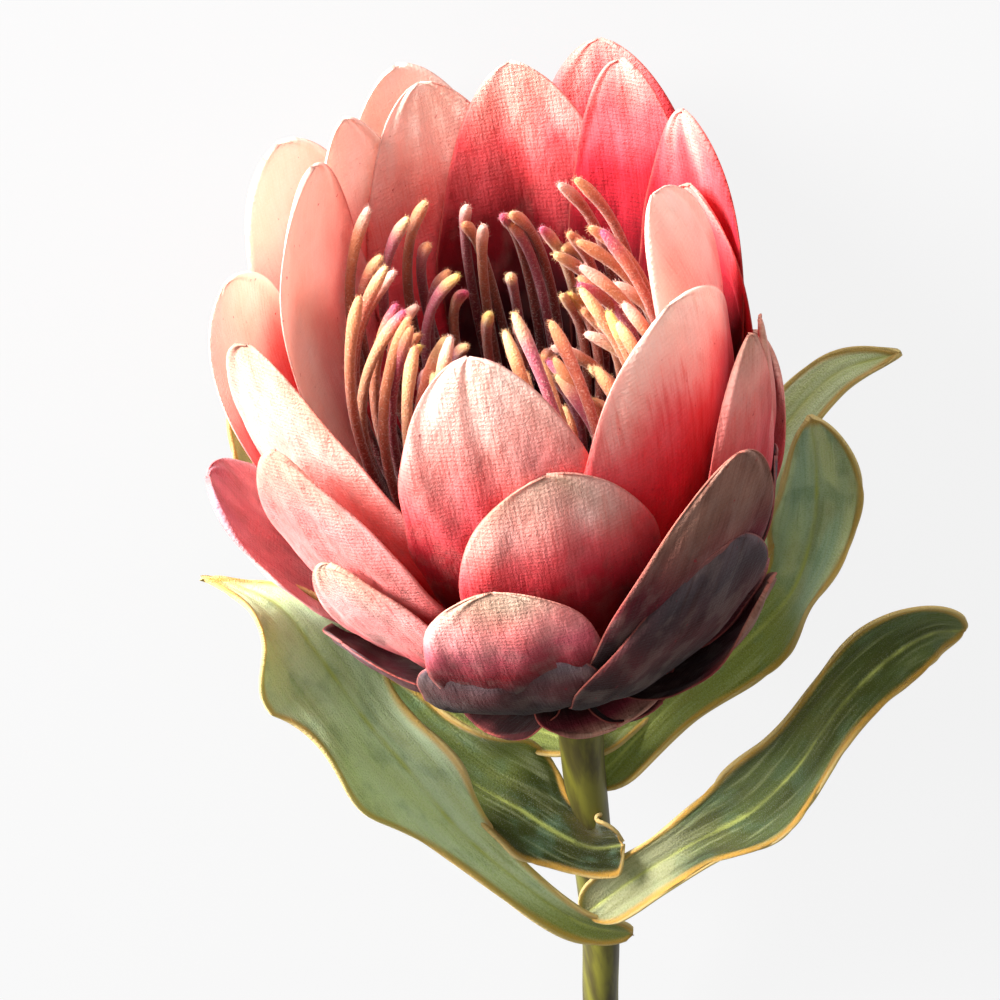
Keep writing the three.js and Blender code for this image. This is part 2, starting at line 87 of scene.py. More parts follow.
def rgb(text):
    """A linear colour from six hex digits of a display colour: ((c + 0.055) / 1.055)^2.4, or c / 12.92 where
    it is dark."""
    shown = np.array([int(text[i:i + 2], 16) for i in (0, 2, 4)]) / 255
    return np.where(shown > 0.04045, ((shown + 0.055) / 1.055) ** 2.4, shown / 12.92)


# Colours of the bracts
NEAR_BLACK = rgb("30060e")
CRIMSON = rgb("7c0e1a")
RED = rgb("c62a3a")
CORAL = rgb("f26469")
PINK = rgb("f79894")
PALE = rgb("fcb8ac")
CREAM = rgb("ffe6d6")
TAN = rgb("cda892")
MAUVE = rgb("a87c8a")
GREY = rgb("66565a")
ROSE = rgb("b8505c")
WINE = rgb("6a202c")
BROWN_RED = rgb("56282a")
BARK = rgb("8a6254")
DUSTY_PINK = rgb("dea6a6")
SLATE_GREY = rgb("483c40")
DARK = rgb("230c0e")


def look(tones, at, streak, dust, across=0):
    """Tones from the root to the tip, where they lie along the bract, how streaked and how dusty it is, and
    how far they shift from the middle to the edges."""
    return {"tones": tones, "at": at, "streak": streak, "dust": dust, "across": across}


# Painted shade: the dark tones near each bract's root are partly its own deep red and partly painted shade
# deep in the bloom and under the bracts in front. BROWN and SLATE, on the lower right, are darker partly as
# painted shade too.
BACK = look((NEAR_BLACK, CRIMSON, RED, CORAL, PALE), (0.5, 0.63, 0.77, 0.89, 1.0), 0.25, 0.0)
# Painted light: BACK_LEFT, PALE_LEFT and EDGE_LEFT are paler, also lower down, partly as painted light on the
# left side of the bloom, which is lit and lets light through. EDGE_LEFT's tones also shift across it, so that
# one edge is paler.
BACK_LEFT = look((CRIMSON, RED, CORAL, PALE, CREAM), (0.34, 0.46, 0.6, 0.8, 0.96), 0.2, 0.0)
BACK_PEACH = look((NEAR_BLACK, CRIMSON, CORAL, PALE, CREAM), (0.5, 0.64, 0.8, 0.9, 0.99), 0.4, 0.15)
PALE_LEFT = look((RED, CORAL, PINK, CREAM, CREAM), (0.42, 0.58, 0.7, 0.84, 1.0), 0.15, 0.05)
EDGE_LEFT = look((RED, CORAL, PINK, PALE, CREAM), (0.07, 0.2, 0.36, 0.52, 0.7), 0.15, 0.1, 0.28)
FRONT = look((CRIMSON, RED, CORAL, PALE, CREAM), (0.44, 0.56, 0.68, 0.84, 1.02), 0.2, 0.35)
MIDDLE = look((CRIMSON, RED, CORAL, PALE, TAN), (0.52, 0.64, 0.75, 0.87, 1.0), 0.3, 0.25)
RIGHT = look((CRIMSON, RED, CORAL, PALE, CREAM), (0.47, 0.62, 0.74, 0.87, 1.0), 0.5, 0.05)
UPPER = look((RED, CORAL, PINK, PALE, CREAM), (0.3, 0.5, 0.66, 0.8, 0.96), 0.15, 0.05)
TOP_ROSE = look((CRIMSON, RED, CORAL, PALE, TAN), (0.4, 0.56, 0.72, 0.88, 1.0), 0.4, 0.25)
# Painted light: SIDE_LEFT's lighter tones towards its root are partly painted light on the lit left side.
SIDE_LEFT = look((RED, CORAL, PINK, PALE, TAN), (0.3, 0.46, 0.6, 0.76, 0.95), 0.2, 0.45)
RIDGE = look((RED, CORAL, PINK, PINK, TAN), (0.3, 0.46, 0.6, 0.8, 0.98), 0.3, 0.6)
SPREAD = look((WINE, ROSE, DUSTY_PINK, DUSTY_PINK, MAUVE), (0.15, 0.28, 0.42, 0.75, 1.0), 0.3, 0.5)
CURLED = look((DARK, CRIMSON, ROSE, PINK, TAN), (0.44, 0.6, 0.76, 0.88, 0.98), 0.2, 0.35)
BROWN = look((DARK, DARK, WINE, BARK, BARK), (0.38, 0.52, 0.68, 0.86, 1.0), 0.6, 0.3)
SLATE = look((DARK, DARK, BROWN_RED, SLATE_GREY, GREY), (0.3, 0.48, 0.66, 0.86, 1.0), 0.5, 0.3)
BELOW_CURL = look((DARK, DARK, BROWN_RED, GREY, MAUVE), (0.3, 0.5, 0.72, 0.88, 1.0), 0.4, 0.2)
DUSTY = look((DARK, WINE, WINE, BROWN_RED, GREY), (0.3, 0.5, 0.7, 0.9, 1.0), 0.4, 0.3)
# Painted shade: this look is near-black partly as the lowest bracts' own dark colour and partly as painted
# shade under the bloom.
LOWEST_DARK_AND_SHADE = look((DARK, DARK, DARK, DARK, BROWN_RED), (0.3, 0.5, 0.7, 0.85, 1.0), 0.3, 0.0)
PALE_RIM = look((DARK, DARK, WINE, BARK, TAN), (0.3, 0.5, 0.75, 0.93, 1.0), 0.3, 0.1)

ROW_LOOK = {1: BACK, 2: BACK, 3: TOP_ROSE, 4: DUSTY, 5: LOWEST_DARK_AND_SHADE, 6: LOWEST_DARK_AND_SHADE}

# One line per bract: row, azimuth from the front to the right, length, width, then what is its own.
# sway: how far its tip stands to the side; skew: how much more one edge stands in at the tip;
# cup: how flat the arc across it is; folds: what fold() takes.
BRACTS = [
    (1, -10, 99, 37, {"widest": 0.6, "sway": -1, "look": FRONT,
                      "folds": [(-1.1, 0.9, -0.3, 0.5, -1.2, 0.12), (-0.2, 1.0, 0.1, 0.6, 0.5, 0.1)]}),
    (1, 41, 92, 51, {"lean": (42, 10, -10), "sway": 1, "widest": 0.64, "blunt": 2.6, "look": RIGHT}),
    (1, 76, 100, 40, {"lean": (42, 2, -24), "skew": -0.6, "blunt": 1.4, "look": UPPER}),
    (1, 116, 99, 32, {"blunt": 1.6}),
    (1, 138, 104, 32, {"blunt": 1.5}),
    (1, 167, 102, 42, {"blunt": 1.3, "look": BACK_PEACH}),
    (1, 190, 101, 38, {"look": BACK_LEFT}),
    (1, 212, 100, 30, {"look": PALE_LEFT}),
    (1, 240, 104, 36, {"lean": (40, 10, -24), "skew": -0.2, "look": EDGE_LEFT}),
    (1, 303, 98, 42, {"lean": (42, 18, -2), "sway": -5, "look": SIDE_LEFT}),
    (2, 1, 75, 39, {"lean": (48, 18, -8), "blunt": 2.6, "look": MIDDLE}),
    (2, 38, 84, 23, {"lean": (54, 13, -12), "sway": 16, "look": TOP_ROSE}),
    (2, 78, 74, 30, {"lean": (54, 18, -9), "look": TOP_ROSE}),
    (2, 112, 87, 32, {"lean": (50, 5, -12)}),
    (2, 150, 106, 40, {}),
    (2, 192, 105, 40, {"look": PALE_LEFT}),
    (2, 222, 101, 36, {"blunt": 3, "skew": -0.15, "look": PALE_LEFT}),
    (2, 258, 91, 38, {"blunt": 3.4, "skew": -0.4, "look": PALE_LEFT}),
    (2, 313, 85, 32, {"lean": (50, 20, 3), "sway": -6, "look": RIDGE}),
    (3, -12, 61, 33, {"lean": (68, 26, -6), "sway": -2, "cup": 1.3, "blunt": 3.4, "look": CURLED}),
    (3, 21, 77, 36, {"lean": (62, 17, -4), "sway": 17, "look": BROWN}),
    (3, 74, 48, 32, {"lean": (62, 30, 8), "look": SLATE}),
    (3, 105, 58, 31, {"lean": (63, 27, 2)}),
    (3, 150, 66, 36, {}),
    (3, 190, 66, 36, {}),
    (3, 230, 64, 36, {}),
    (3, 264, 62, 38, {"lean": (68, 40, 20), "cup": 1.3, "blunt": 2.6, "look": SPREAD}),
    (3, 320, 63, 27, {"lean": (56, 28, 8), "sway": -8, "look": RIDGE}),
    (4, -17, 50, 36, {"lean": (72, 34, 2), "cup": 1.3, "blunt": 4, "look": BELOW_CURL}),
    (4, 19, 64, 38, {"lean": (68, 27, -2), "sway": 16, "look": SLATE}),
    (4, 72, 31, 30, {"lean": (72, 46, 34)}),
    (4, 108, 44, 34, {"lean": (74, 30, 2)}),
    (4, 144, 46, 34, {}),
    (4, 180, 46, 34, {}),
    (4, 216, 46, 34, {}),
    (4, 300, 42, 36, {"lean": (74, 44, 20)}),
    (5, -54, 14, 34, {}),
    (5, 16, 14, 36, {"lean": (84, 100, 116), "look": PALE_RIM}),
    (5, 50, 53, 30, {"lean": (84, 52, 12), "sway": 4, "look": BROWN}),
    (5, 74, 24, 26, {}),
    (5, 120, 18, 34, {}),
    (5, 168, 18, 34, {}),
    (5, 216, 18, 34, {}),
    (5, 262, 18, 34, {}),
    (6, -50, 17, 32, {}),
    (6, 45, 15.5, 32, {}),
    (6, 110, 14, 32, {}),
    (6, 180, 14, 32, {}),
    (6, 250, 14, 32, {}),
]

# Head core: radius at height
CUP = [(6, 0), (8.5, 4), (12, 8), (16.5, 13), (20.5, 18.5), (22.7, 24), (23.3, 27), (22, 29.7)]
DOME = [(21.5, 30), (20.5, 34), (16.5, 38.5), (9, 41.5), (3, 42.5), (0.1, 42.6)]

# Floret rings from the outside in: how many, and radius and height of root, middle and tip
RINGS = [
    {"count": 32, "root": (17, 31.5), "middle": (44, 84), "tip": (23, 107)},
    {"count": 28, "root": (14, 34), "middle": (38, 78), "tip": (18, 97)},
    {"count": 22, "root": (10, 36), "middle": (32, 70), "tip": (14, 86)},
    {"count": 10, "root": (6, 37), "middle": (20, 60), "tip": (9, 72)},
]
FLORET_RADIUS = 1.15
# How far a floret strays from its place, and where the florets bend in to make room for a bract
STRAY = {"azimuth": 0.3, "tip_azimuth": 0.22, "tip_radius": 5, "tip_height": 9}
BEND_IN = {"azimuth": 84, "reach": 30, "share": 0.24}

# Stem: points of its centre line and its radius at each of them
STEM = [(0, 0, -0.3), (0, 0, -8), (-1, 0, -22), (-2.5, 0, -50), (-4, 0, -76), (-7, 0, -100), (-11, 0, -140),
        (-15, 0, -175)]
STEM_RADIUS = [6, 5, 4.6, 4.4, 4.2, 4.1, 4.1, 4.1]

# Leaves: points of the rib, the way the upper face looks at each of them, and the outline as outline() takes
# it. bow: the arc's angle from the rib to the edge; wave and waves: height and number of the edge's waves;
# ripple: how much the width follows them; shift: how far one edge's waves are ahead of the other's;
# slant: how much wider one half grows towards the tip.
LEAVES = {
    "leaf_lower_left": {
        "rib": [(3, -4, -75), (-10, -7, -62), (-27, -10, -30), (-36, -12, -4), (-43, -12, 15), (-48, -11, 31),
                (-53, -9, 44), (-60, -6, 49), (-67, -4, 52)],
        "face": [(0.2, -0.9, 0.3), (0.1, -0.9, 0.5), (0.2, -0.8, 0.5), (0.4, -0.8, 0.3), (0.5, -0.8, 0.2),
                 (0.5, -0.8, 0.3), (0.4, -0.6, 0.6), (0.3, -0.2, 0.9), (0.2, 0.2, 0.9)],
        "width": 27, "widest": 0.62, "base": 0.25, "ease": 2.4, "blunt": 1, "tip": 0.75, "bow": 0.5,
        "wave": 2.6, "waves": 3.2, "ripple": 0.2, "shift": 4.7, "slant": -0.3,
    },
    "leaf_lower_right": {
        "rib": [(-7, -5, -64), (6, -7, -53), (19, -12, -40), (31, -16, -30), (41, -19, -17), (51, -20, -1),
                (62, -17, 7), (72, -13, 8), (80, -9, 3)],
        "face": [(-0.2, -0.8, 0.4), (-0.2, -0.8, 0.5), (0, -0.8, 0.5), (-0.4, -0.7, 0.5), (-0.7, -0.7, 0.3),
                 (-0.5, -0.9, 0.2), (-0.3, -0.9, 0.2), (-0.1, -0.9, 0.3), (0.1, -0.9, 0.2)],
        "width": 17, "widest": 0.65, "base": 0.6, "ease": 0.7, "blunt": 2, "bow": 0.6,
        "wave": 1.8, "waves": 2.4, "ripple": 0.2, "shift": 0.25, "slant": -0.2,
    },
    "leaf_middle_right": {
        "rib": [(0, 2, -32), (20, 10, -20), (36, 16, -14), (49, 20, -5), (56, 24, 9), (58, 26, 22),
                (58, 26, 37)],
        "face": [(-0.4, -0.7, 0.6), (-0.4, -0.7, 0.6), (-0.4, -0.7, 0.5), (-0.8, -0.5, 0.3),
                 (-0.3, -0.9, 0.1), (0, -0.9, 0.2), (0.2, -0.9, 0.3)],
        "width": 19, "widest": 0.72, "base": 0.6, "blunt": 2.4, "bow": 0.5,
        "wave": 2.2, "waves": 2.5, "ripple": 0.1,
    },
    "leaf_upper_left": {
        "rib": [(4, -7, -42), (-3, -6, -42), (-10, -5, -36), (-16, -3, -30), (-25, -1, -21), (-33, 0, -8),
                (-39, 1, 3), (-44, 2, 11)],
        "face": [(0.3, -0.9, 0.3), (0.3, -0.8, 0.5), (0.2, -0.8, 0.6), (0.2, -0.8, 0.6), (0.1, -0.8, 0.6),
                 (0, -0.7, 0.7), (0, -0.6, 0.8), (0, -0.6, 0.8)],
        "width": 19, "widest": 0.5, "base": 0.7, "blunt": 1.6, "bow": 0.5,
        "wave": 2.2, "waves": 2, "ripple": 0.25, "slant": 0.5,
    },
    "leaf_upper_right": {
        "rib": [(0, 3, -24), (15, 16, -21), (30, 26, -10), (42, 34, 4), (50, 38, 20), (65, 40, 35),
                (80, 39, 39)],
        "face": [(-0.4, -0.7, 0.6), (-0.4, -0.7, 0.6), (-0.4, -0.7, 0.5), (-0.4, -0.7, 0.5),
                 (-0.3, -0.6, 0.7), (-0.1, -0.6, 0.8), (0, -0.6, 0.8)],
        "width": 17, "widest": 0.5, "base": 0.4, "blunt": 1.4, "bow": 0.5,
        "wave": 1.5, "waves": 2, "ripple": 0.08,
    },
    "leaf_behind_left": {
        "rib": [(0, 2, -20), (-20, 14, -13), (-40, 26, 16), (-53, 33, 42), (-56, 36, 57), (-55, 37, 77)],
        "face": [(0.5, -0.7, 0.5), (0.5, -0.7, 0.5), (0.6, -0.6, 0.4), (0.9, -0.5, 0.3), (0.9, -0.4, 0.2),
                 (0.9, -0.4, 0.1)],
        "width": 20, "widest": 0.5, "base": 0.4, "blunt": 2.4, "bow": 0.5,
        "wave": 1.5, "waves": 2, "ripple": 0.08,
    },
}
# Where a leaf names none of its own
LEAF_TIP = 1.5
WAVE_SHIFT = 1.6


def lie_down(points):
    """Lays upright points down: x becomes -x, y and z turn by the axis's rise, and the whole is moved."""
    x, y, z = np.moveaxis(np.asarray(points, float), -1, 0)
    rise, level = np.sin(AXIS_RISE), np.cos(AXIS_RISE)
    return np.stack([CENTRE_X - x, CENTRE_Y - y * rise - z * level, BASE_HEIGHT - y * level + z * rise], -1)


def press_down(points, layer=0.0):
    """Lays points down and bends what would go below the surface onto it: the height becomes
    lowest + softness ln(1 + e^over), where over is the height above the lowest, divided by the softness."""
    laid = lie_down(points)
    lowest = LOWEST + np.asarray(layer) * PRESSED_LAYER
    over = (laid[..., 2] - lowest) / PRESS_SOFTNESS
    laid[..., 2] = lowest + PRESS_SOFTNESS * np.logaddexp(0, over)
    return laid


def along(points, t):
    """A smooth curve through the points, t from 0 to 1: one cubic per span, with slopes taken from the points
    on both sides of it."""
    q = np.asarray(points, float)
    q = q[:, None] if q.ndim == 1 else q
    spans = len(q) - 1
    q = np.vstack([2 * q[0] - q[1], q, 2 * q[-1] - q[-2]])
    s = np.clip(np.asarray(t, float) * spans, 0, spans - 1e-9)
    i = s.astype(int)
    f = (s - i)[..., None]
    a, b, c, d = q[i], q[i + 1], q[i + 2], q[i + 3]
    linear = (c - a) * f
    square = (2 * a - 5 * b + 4 * c - d) * f ** 2
    cube = (3 * b - a - 3 * c + d) * f ** 3
    return 0.5 * (2 * b + linear + square + cube)


def outline(v, widest, base, blunt, tip, ease):
    """Half-width along a blade as a share of the greatest: a sine to the power of ease from the base share up
    to 1, then (1 - t^blunt)^(1/tip) to the closed tip."""
    rise = base + (1 - base) * np.sin(np.pi / 2 * np.clip(v / widest, 0, 1)) ** ease
    t = np.clip((v - widest) / (1 - widest), 0, 1)
    return np.where(v < widest, rise, np.clip(1 - t ** blunt, 0, 1) ** (1 / tip))


def unit(vectors):
    """Vectors at length 1."""
    tiny = 1e-12
    return vectors / np.maximum(np.linalg.norm(vectors, axis=-1, keepdims=True), tiny)


def rounded(share):
    """A quarter circle that rises from 0 to 1 as the share does: sqrt(1 - (1 - share)^2)."""
    return np.sqrt(np.clip(1 - (1 - np.clip(share, 0, 1)) ** 2, 0, 1))


def waves(u, v, rng, count, most, size):
    """Sum of a few sine waves of random direction and phase over the blade, times size / sqrt(count)."""
    total = np.zeros(np.broadcast(u, v).shape)
    for _ in range(count):
        across, lengthwise = rng.uniform(-most, most), rng.uniform(1, most)
        total = total + np.sin(np.pi * (across * u + lengthwise * v) + rng.uniform(0, 2 * np.pi))
    return size * total / np.sqrt(count)


class Surface:
    """Vertices, faces and what is painted on them, gathered from many blades or tubes into one mesh."""

    def __init__(self):
        self.points = []
        self.quads = []
        self.triangles = []
        self.place = []
        self.marks = []
        self.tones = []
        self.count = 0

    def add(self, points, quads, triangles, place, marks, tones):
        """points: (n, 3) in mm, laid down; place: (n, 2) in mm, across and along; marks and tones: (n, 3) to
        paint by."""
        if quads is not None:
            self.quads.append(quads + self.count)
        if triangles is not None:
            self.triangles.append(triangles + self.count)
        self.points.append(points)
        self.place.append(place)
        self.marks.append(marks)
        self.tones.append(tones)
        self.count += len(points)

    def add_blade(self, middle, thickness, place, marks, tones):
        """A closed blade about a grid: both faces are the grid moved by half the thickness along its normal,
        and they are joined round the rim."""
        rows, columns = middle.shape[:2]
        normal = unit(np.cross(np.gradient(middle, axis=1), np.gradient(middle, axis=0)))
        half = normal * thickness[..., None] / 2
        face = grid_faces(rows, columns)
        under = rows * columns
        rim = np.concatenate([
            np.arange(columns - 1),
            np.arange(rows - 1) * columns + columns - 1,
            (rows - 1) * columns + np.arange(columns - 1, 0, -1),
            np.arange(rows - 1, 0, -1) * columns,
        ])
        after = np.roll(rim, -1)
        side = np.stack([rim, under + rim, under + after, after], -1)

        def both(values):
            """The values for the upper points and again for the lower ones."""
            flat = values.reshape(-1, values.shape[-1])
            return np.concatenate([flat, flat])

        points = np.concatenate([(middle + half).reshape(-1, 3), (middle - half).reshape(-1, 3)])
        quads = np.concatenate([face, (under + face)[:, ::-1], side])
        self.add(points, quads, None, both(place), both(marks), both(tones))

    def add_round(self, path, first, second, radii, sides, marks, tones):
        """A round body about an upright centre line, closed at both ends: each ring's points are
        centre + radius (first cos a + second sin a)."""
        a = np.linspace(0, 2 * np.pi, sides, endpoint=False)
        spokes = np.cos(a)[None, :, None] * first[:, None] + np.sin(a)[None, :, None] * second[:, None]
        rings = path[:, None] + radii[:, None, None] * spokes
        length = np.concatenate([[0], np.cumsum(np.linalg.norm(np.diff(path, axis=0), axis=1))])
        around = (a * radii.max())[None, :]
        place = np.stack(np.broadcast_arrays(around, length[:, None]), -1).reshape(-1, 2)
        last = (len(path) - 1) * sides
        centres = last + sides
        i = np.arange(sides)
        after = (i + 1) % sides
        caps = np.concatenate([
            np.stack([after, i, np.full(sides, centres)], -1),
            np.stack([last + i, last + after, np.full(sides, centres + 1)], -1),
        ])

        def spread(values):
            """The values of the centre line for each ring's points and the two end points."""
            return np.concatenate([np.repeat(values, sides, 0), values[:1], values[-1:]])

        points = np.concatenate([rings.reshape(-1, 3), path[:1], path[-1:]])
        place = np.concatenate([place, [[0, 0], [0, length[-1]]]])
        quads = grid_faces(len(path), sides, closed=True)
        self.add(lie_down(points), quads, caps, place, spread(marks), spread(tones))

    def piece(self, name, material):
        """The mesh object: place becomes the UV map, marks and tones become colour attributes."""
        points = np.concatenate(self.points) * MM
        quads = np.concatenate([np.zeros((0, 4), int), *self.quads])
        triangles = np.concatenate([np.zeros((0, 3), int), *self.triangles])
        corners = np.concatenate([quads.ravel(), triangles.ravel()])
        starts = np.concatenate([np.arange(len(quads)) * 4, quads.size + np.arange(len(triangles)) * 3])
        mesh = bpy.data.meshes.new(name)
        mesh.vertices.add(len(points))
        mesh.vertices.foreach_set("co", points.ravel())
        mesh.loops.add(len(corners))
        mesh.loops.foreach_set("vertex_index", corners)
        mesh.polygons.add(len(starts))
        mesh.polygons.foreach_set("loop_start", starts)
        mesh.polygons.foreach_set("use_smooth", np.ones(len(starts), bool))
        mesh.update(calc_edges=True)
        layer = mesh.uv_layers.new(name="place")
        layer.data.foreach_set("uv", np.concatenate(self.place)[corners].ravel())
        for title, values in (("marks", self.marks), ("tones", self.tones)):
            stacked = np.concatenate(values)
            stacked = np.column_stack([stacked, np.ones(len(stacked))]).astype(np.float32)
            attribute = mesh.color_attributes.new(title, "FLOAT_COLOR", "POINT")
            attribute.data.foreach_set("color", stacked.ravel())
        mesh.materials.append(material)
        made = bpy.data.objects.new(name, mesh)
        bpy.context.scene.collection.objects.link(made)
        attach(made, "root")
        return made


def grid_faces(rows, columns, closed=False):
    """Four-cornered faces of a grid of points, row by row; closed joins the last column to the first."""
    j, i = np.meshgrid(np.arange(rows - 1), np.arange(columns if closed else columns - 1), indexing="ij")
    right = (i + 1) % columns
    corners = [j * columns + i, j * columns + right, (j + 1) * columns + right, (j + 1) * columns + i]
    return np.stack(corners, -1).reshape(-1, 4)


def tones_along(finish, v):
    """The look's tones at v, each blended into the next between the places where they lie."""
    tones = np.array(finish["tones"])
    return np.stack([np.interp(v, finish["at"], tones[:, k]) for k in range(3)], -1)


# Bracts: cells across and along by row, steps of the profile, seed, and how far apart two patterns start
BRACT_GRID = {1: (32, 56), 2: (32, 56), 3: (32, 56), 4: (24, 36), 5: (24, 30), 6: (24, 30)}
PROFILE_STEPS = 240
BRACT_SEED = 100
BRACT_PATTERN_STEP = 60

# How uneven a bract is: its width, face, rim and tones as waves() takes them, and its creases
UNEVEN_WIDTH = {"count": 4, "most": 12, "size": 0.012}
UNEVEN_FACE = {"count": 4, "most": 4, "size": 0.35}
UNEVEN_RIM = {"count": 3, "most": 7, "size": 0.6}
UNEVEN_TONES = {"count": 3, "most": 3, "size": 0.03}
CREASES = {"count": 6, "depth": 0.45}

# A bract's thickness is this share of the blade's at its rim, and whole this far in
BRACT_RIM_SHARE = 0.45
BRACT_RIM_WIDTH = 2


def creases(u, v, rng, count, depth):
    """Shallow creases along a blade: each is a hollow or a ridge exp(-x^2) across, whose middle winds a
    little and whose depth fades lengthwise as exp(-y^2)."""
    total = np.zeros_like(u)
    for _ in range(count):
        middle = rng.uniform(-0.8, 0.8) + rng.uniform(-0.35, 0.35) * v
        middle = middle + 0.05 * np.sin(9 * v + rng.uniform(0, 6))
        width = rng.uniform(0.07, 0.16)
        fades = np.exp(-(((v - rng.uniform(0.35, 0.95)) / rng.uniform(0.2, 0.5)) ** 2))
        total = total + rng.uniform(-0.4, 1) * fades * np.exp(-(((u - middle) / width) ** 2))
    return depth * total


def fold(u, v, line):
    """One fold from a place (u0, v0) on a blade to another: a hollow or a ridge exp(-x^2) across, that fades
    at both ends. v counts three times, because a blade is longer than it is wide."""
    u0, v0, u1, v1, depth, width = line
    stretch = 3
    sharp = 12
    way = np.array([u1 - u0, stretch * (v1 - v0)])
    length = np.hypot(*way)
    way = way / length
    ahead = (u - u0) * way[0] + stretch * (v - v0) * way[1]
    aside = (u - u0) * way[1] - stretch * (v - v0) * way[0]
    ends = 1 / (1 + np.exp(-sharp * ahead)) / (1 + np.exp(-sharp * (length - ahead)))
    return depth * ends * np.exp(-((aside / width) ** 2))


def bract_middle(bract, u, v, rng):
    """Middle surface of a bract: its lean is added up along its length to a profile, and each row across it
    is an arc about the head's axis, with creases, folds, a waved rim and one edge standing in."""
    row, azimuth, length, width, own = bract
    lean = own.get("lean", ROWS[row]["lean"])
    root = ROWS[row]["root"]
    fine = np.linspace(0, 1, PROFILE_STEPS + 1)
    angle = ((1 - fine) ** 2 * lean[0] + 2 * fine * (1 - fine) * lean[1] + fine ** 2 * lean[2]) * DEGREE
    step = length / PROFILE_STEPS

    def added_up(slope):
        """The slope added up over the steps, as the mean of each two."""
        return np.concatenate([[0], np.cumsum(0.5 * (slope[1:] + slope[:-1]) * step)])

    r = np.interp(v, fine, root[0] + added_up(np.sin(angle)))
    z = np.interp(v, fine, root[1] + added_up(np.cos(angle)))
    angle = np.interp(v, fine, angle)
    widest, blunt = own.get("widest", BRACT_WIDEST), own.get("blunt", BRACT_BLUNT)
    shape = outline(v, widest, BRACT_BASE, blunt, BRACT_TIP, 1)
    uneven = 1 + waves(np.sign(u), v, rng, **UNEVEN_WIDTH) * np.sin(np.pi * v)
    half = np.maximum(0.5 * width * shape * uneven, LEAST_HALF_WIDTH)
    curl = own.get("cup", 1) * np.maximum(r, TIGHTEST_CUP)
    turn = u * half / curl
    sideways = curl * np.sin(turn)
    sway = own.get("sway", 0) * v ** 2
    edge = np.abs(u) ** 3
    inwards = curl * (1 - np.cos(turn)) + (BRACT_SKEW + own.get("skew", 0) * v ** 2) * sideways
    inwards = inwards + waves(u, v, rng, **UNEVEN_FACE) * np.sin(np.pi * v)
    inwards = inwards + edge * waves(u, v, rng, **UNEVEN_RIM) * v
    inwards = inwards + creases(u, v, rng, **CREASES) * np.sqrt(np.sin(np.pi * v))
    for line in own.get("folds", ()):
        inwards = inwards + fold(u, v, line)
    radial = r - np.cos(angle) * inwards
    height = z + np.sin(angle) * inwards
    a = azimuth * DEGREE
    x = np.sin(a) * radial + np.cos(a) * (sideways + sway)
    y = -np.cos(a) * radial + np.sin(a) * (sideways + sway)
    points = press_down(np.stack([x, y, height], -1), ROWS[row]["layer"] * (1 - v ** PRESS_FADE))
    return points, half


def add_bract(surface, bract, number):
    """A bract as a closed blade, thinner towards its edge, with its tones from root to tip."""
    rng = np.random.default_rng(BRACT_SEED + number)
    row, _, length, _, own = bract
    finish = own.get("look", ROW_LOOK[row])
    across, lengthwise = BRACT_GRID[row]
    s = np.linspace(0, 1, lengthwise + 1)
    u, v = np.meshgrid(np.linspace(-1, 1, across + 1), 0.5 * s + 0.5 * np.sin(np.pi / 2 * s))
    middle, half = bract_middle(bract, u, v, rng)
    margin = np.minimum((1 - np.abs(u)) * half, (1 - v) * length * 0.5)
    thickness = BLADE * (BRACT_RIM_SHARE + (1 - BRACT_RIM_SHARE) * np.clip(margin / BRACT_RIM_WIDTH, 0, 1))
    place = np.stack([u * half + BRACT_PATTERN_STEP * number, v * length], -1)
    streak, dust = np.full_like(u, finish["streak"]), np.full_like(u, finish["dust"])
    marks = np.stack([margin / MARK_SPAN, streak, dust], -1)
    tones = tones_along(finish, v + finish["across"] * u + waves(u, v, rng, **UNEVEN_TONES))
    surface.add_blade(middle, thickness, place, marks, tones)


# Florets: cells, tones of the finger and the tip, how often each of these comes up, and the painted shade
# deep in
# # the bloom that they darken into towards the root
FLORET_GRID = {"around": 10, "along": 22}
FLORET_TONES = [rgb("b8704a"), rgb("ad5a42"), rgb("a85060"), rgb("c08a60"), rgb("96404c")]
FLORET_TONE_ODDS = [0.28, 0.24, 0.24, 0.14, 0.1]
FLORET_TIPS = [rgb("dcae78"), rgb("d08a5c"), rgb("b84060"), rgb("d8b860"), rgb("dca898")]
FLORET_TIP_ODDS = [0.32, 0.28, 0.1, 0.08, 0.22]
FLORET_PAINTED_SHADE = rgb("54141a")

FLORET_SEED = 1000

# Distances from a floret's tip: its swelling, where it narrows, its rounded end, how far its tip's tone
# # reaches, and between which two it darkens into painted shade
SWELLING = 6
NARROWS = 4.5
ROUND_END = 1.2
TIP_TONE = 8
PAINTED_SHADE_SPAN = (7, 49)


def scatter(i, k):
    """A number from -1 to 1 that looks random and is the same each time for the same i and k: twice the
    fraction of a sine times a large number, less 1."""
    s = np.sin(i * 12.9898 + k * 78.233) * 43758.5453
    return 2 * (s - np.floor(s)) - 1


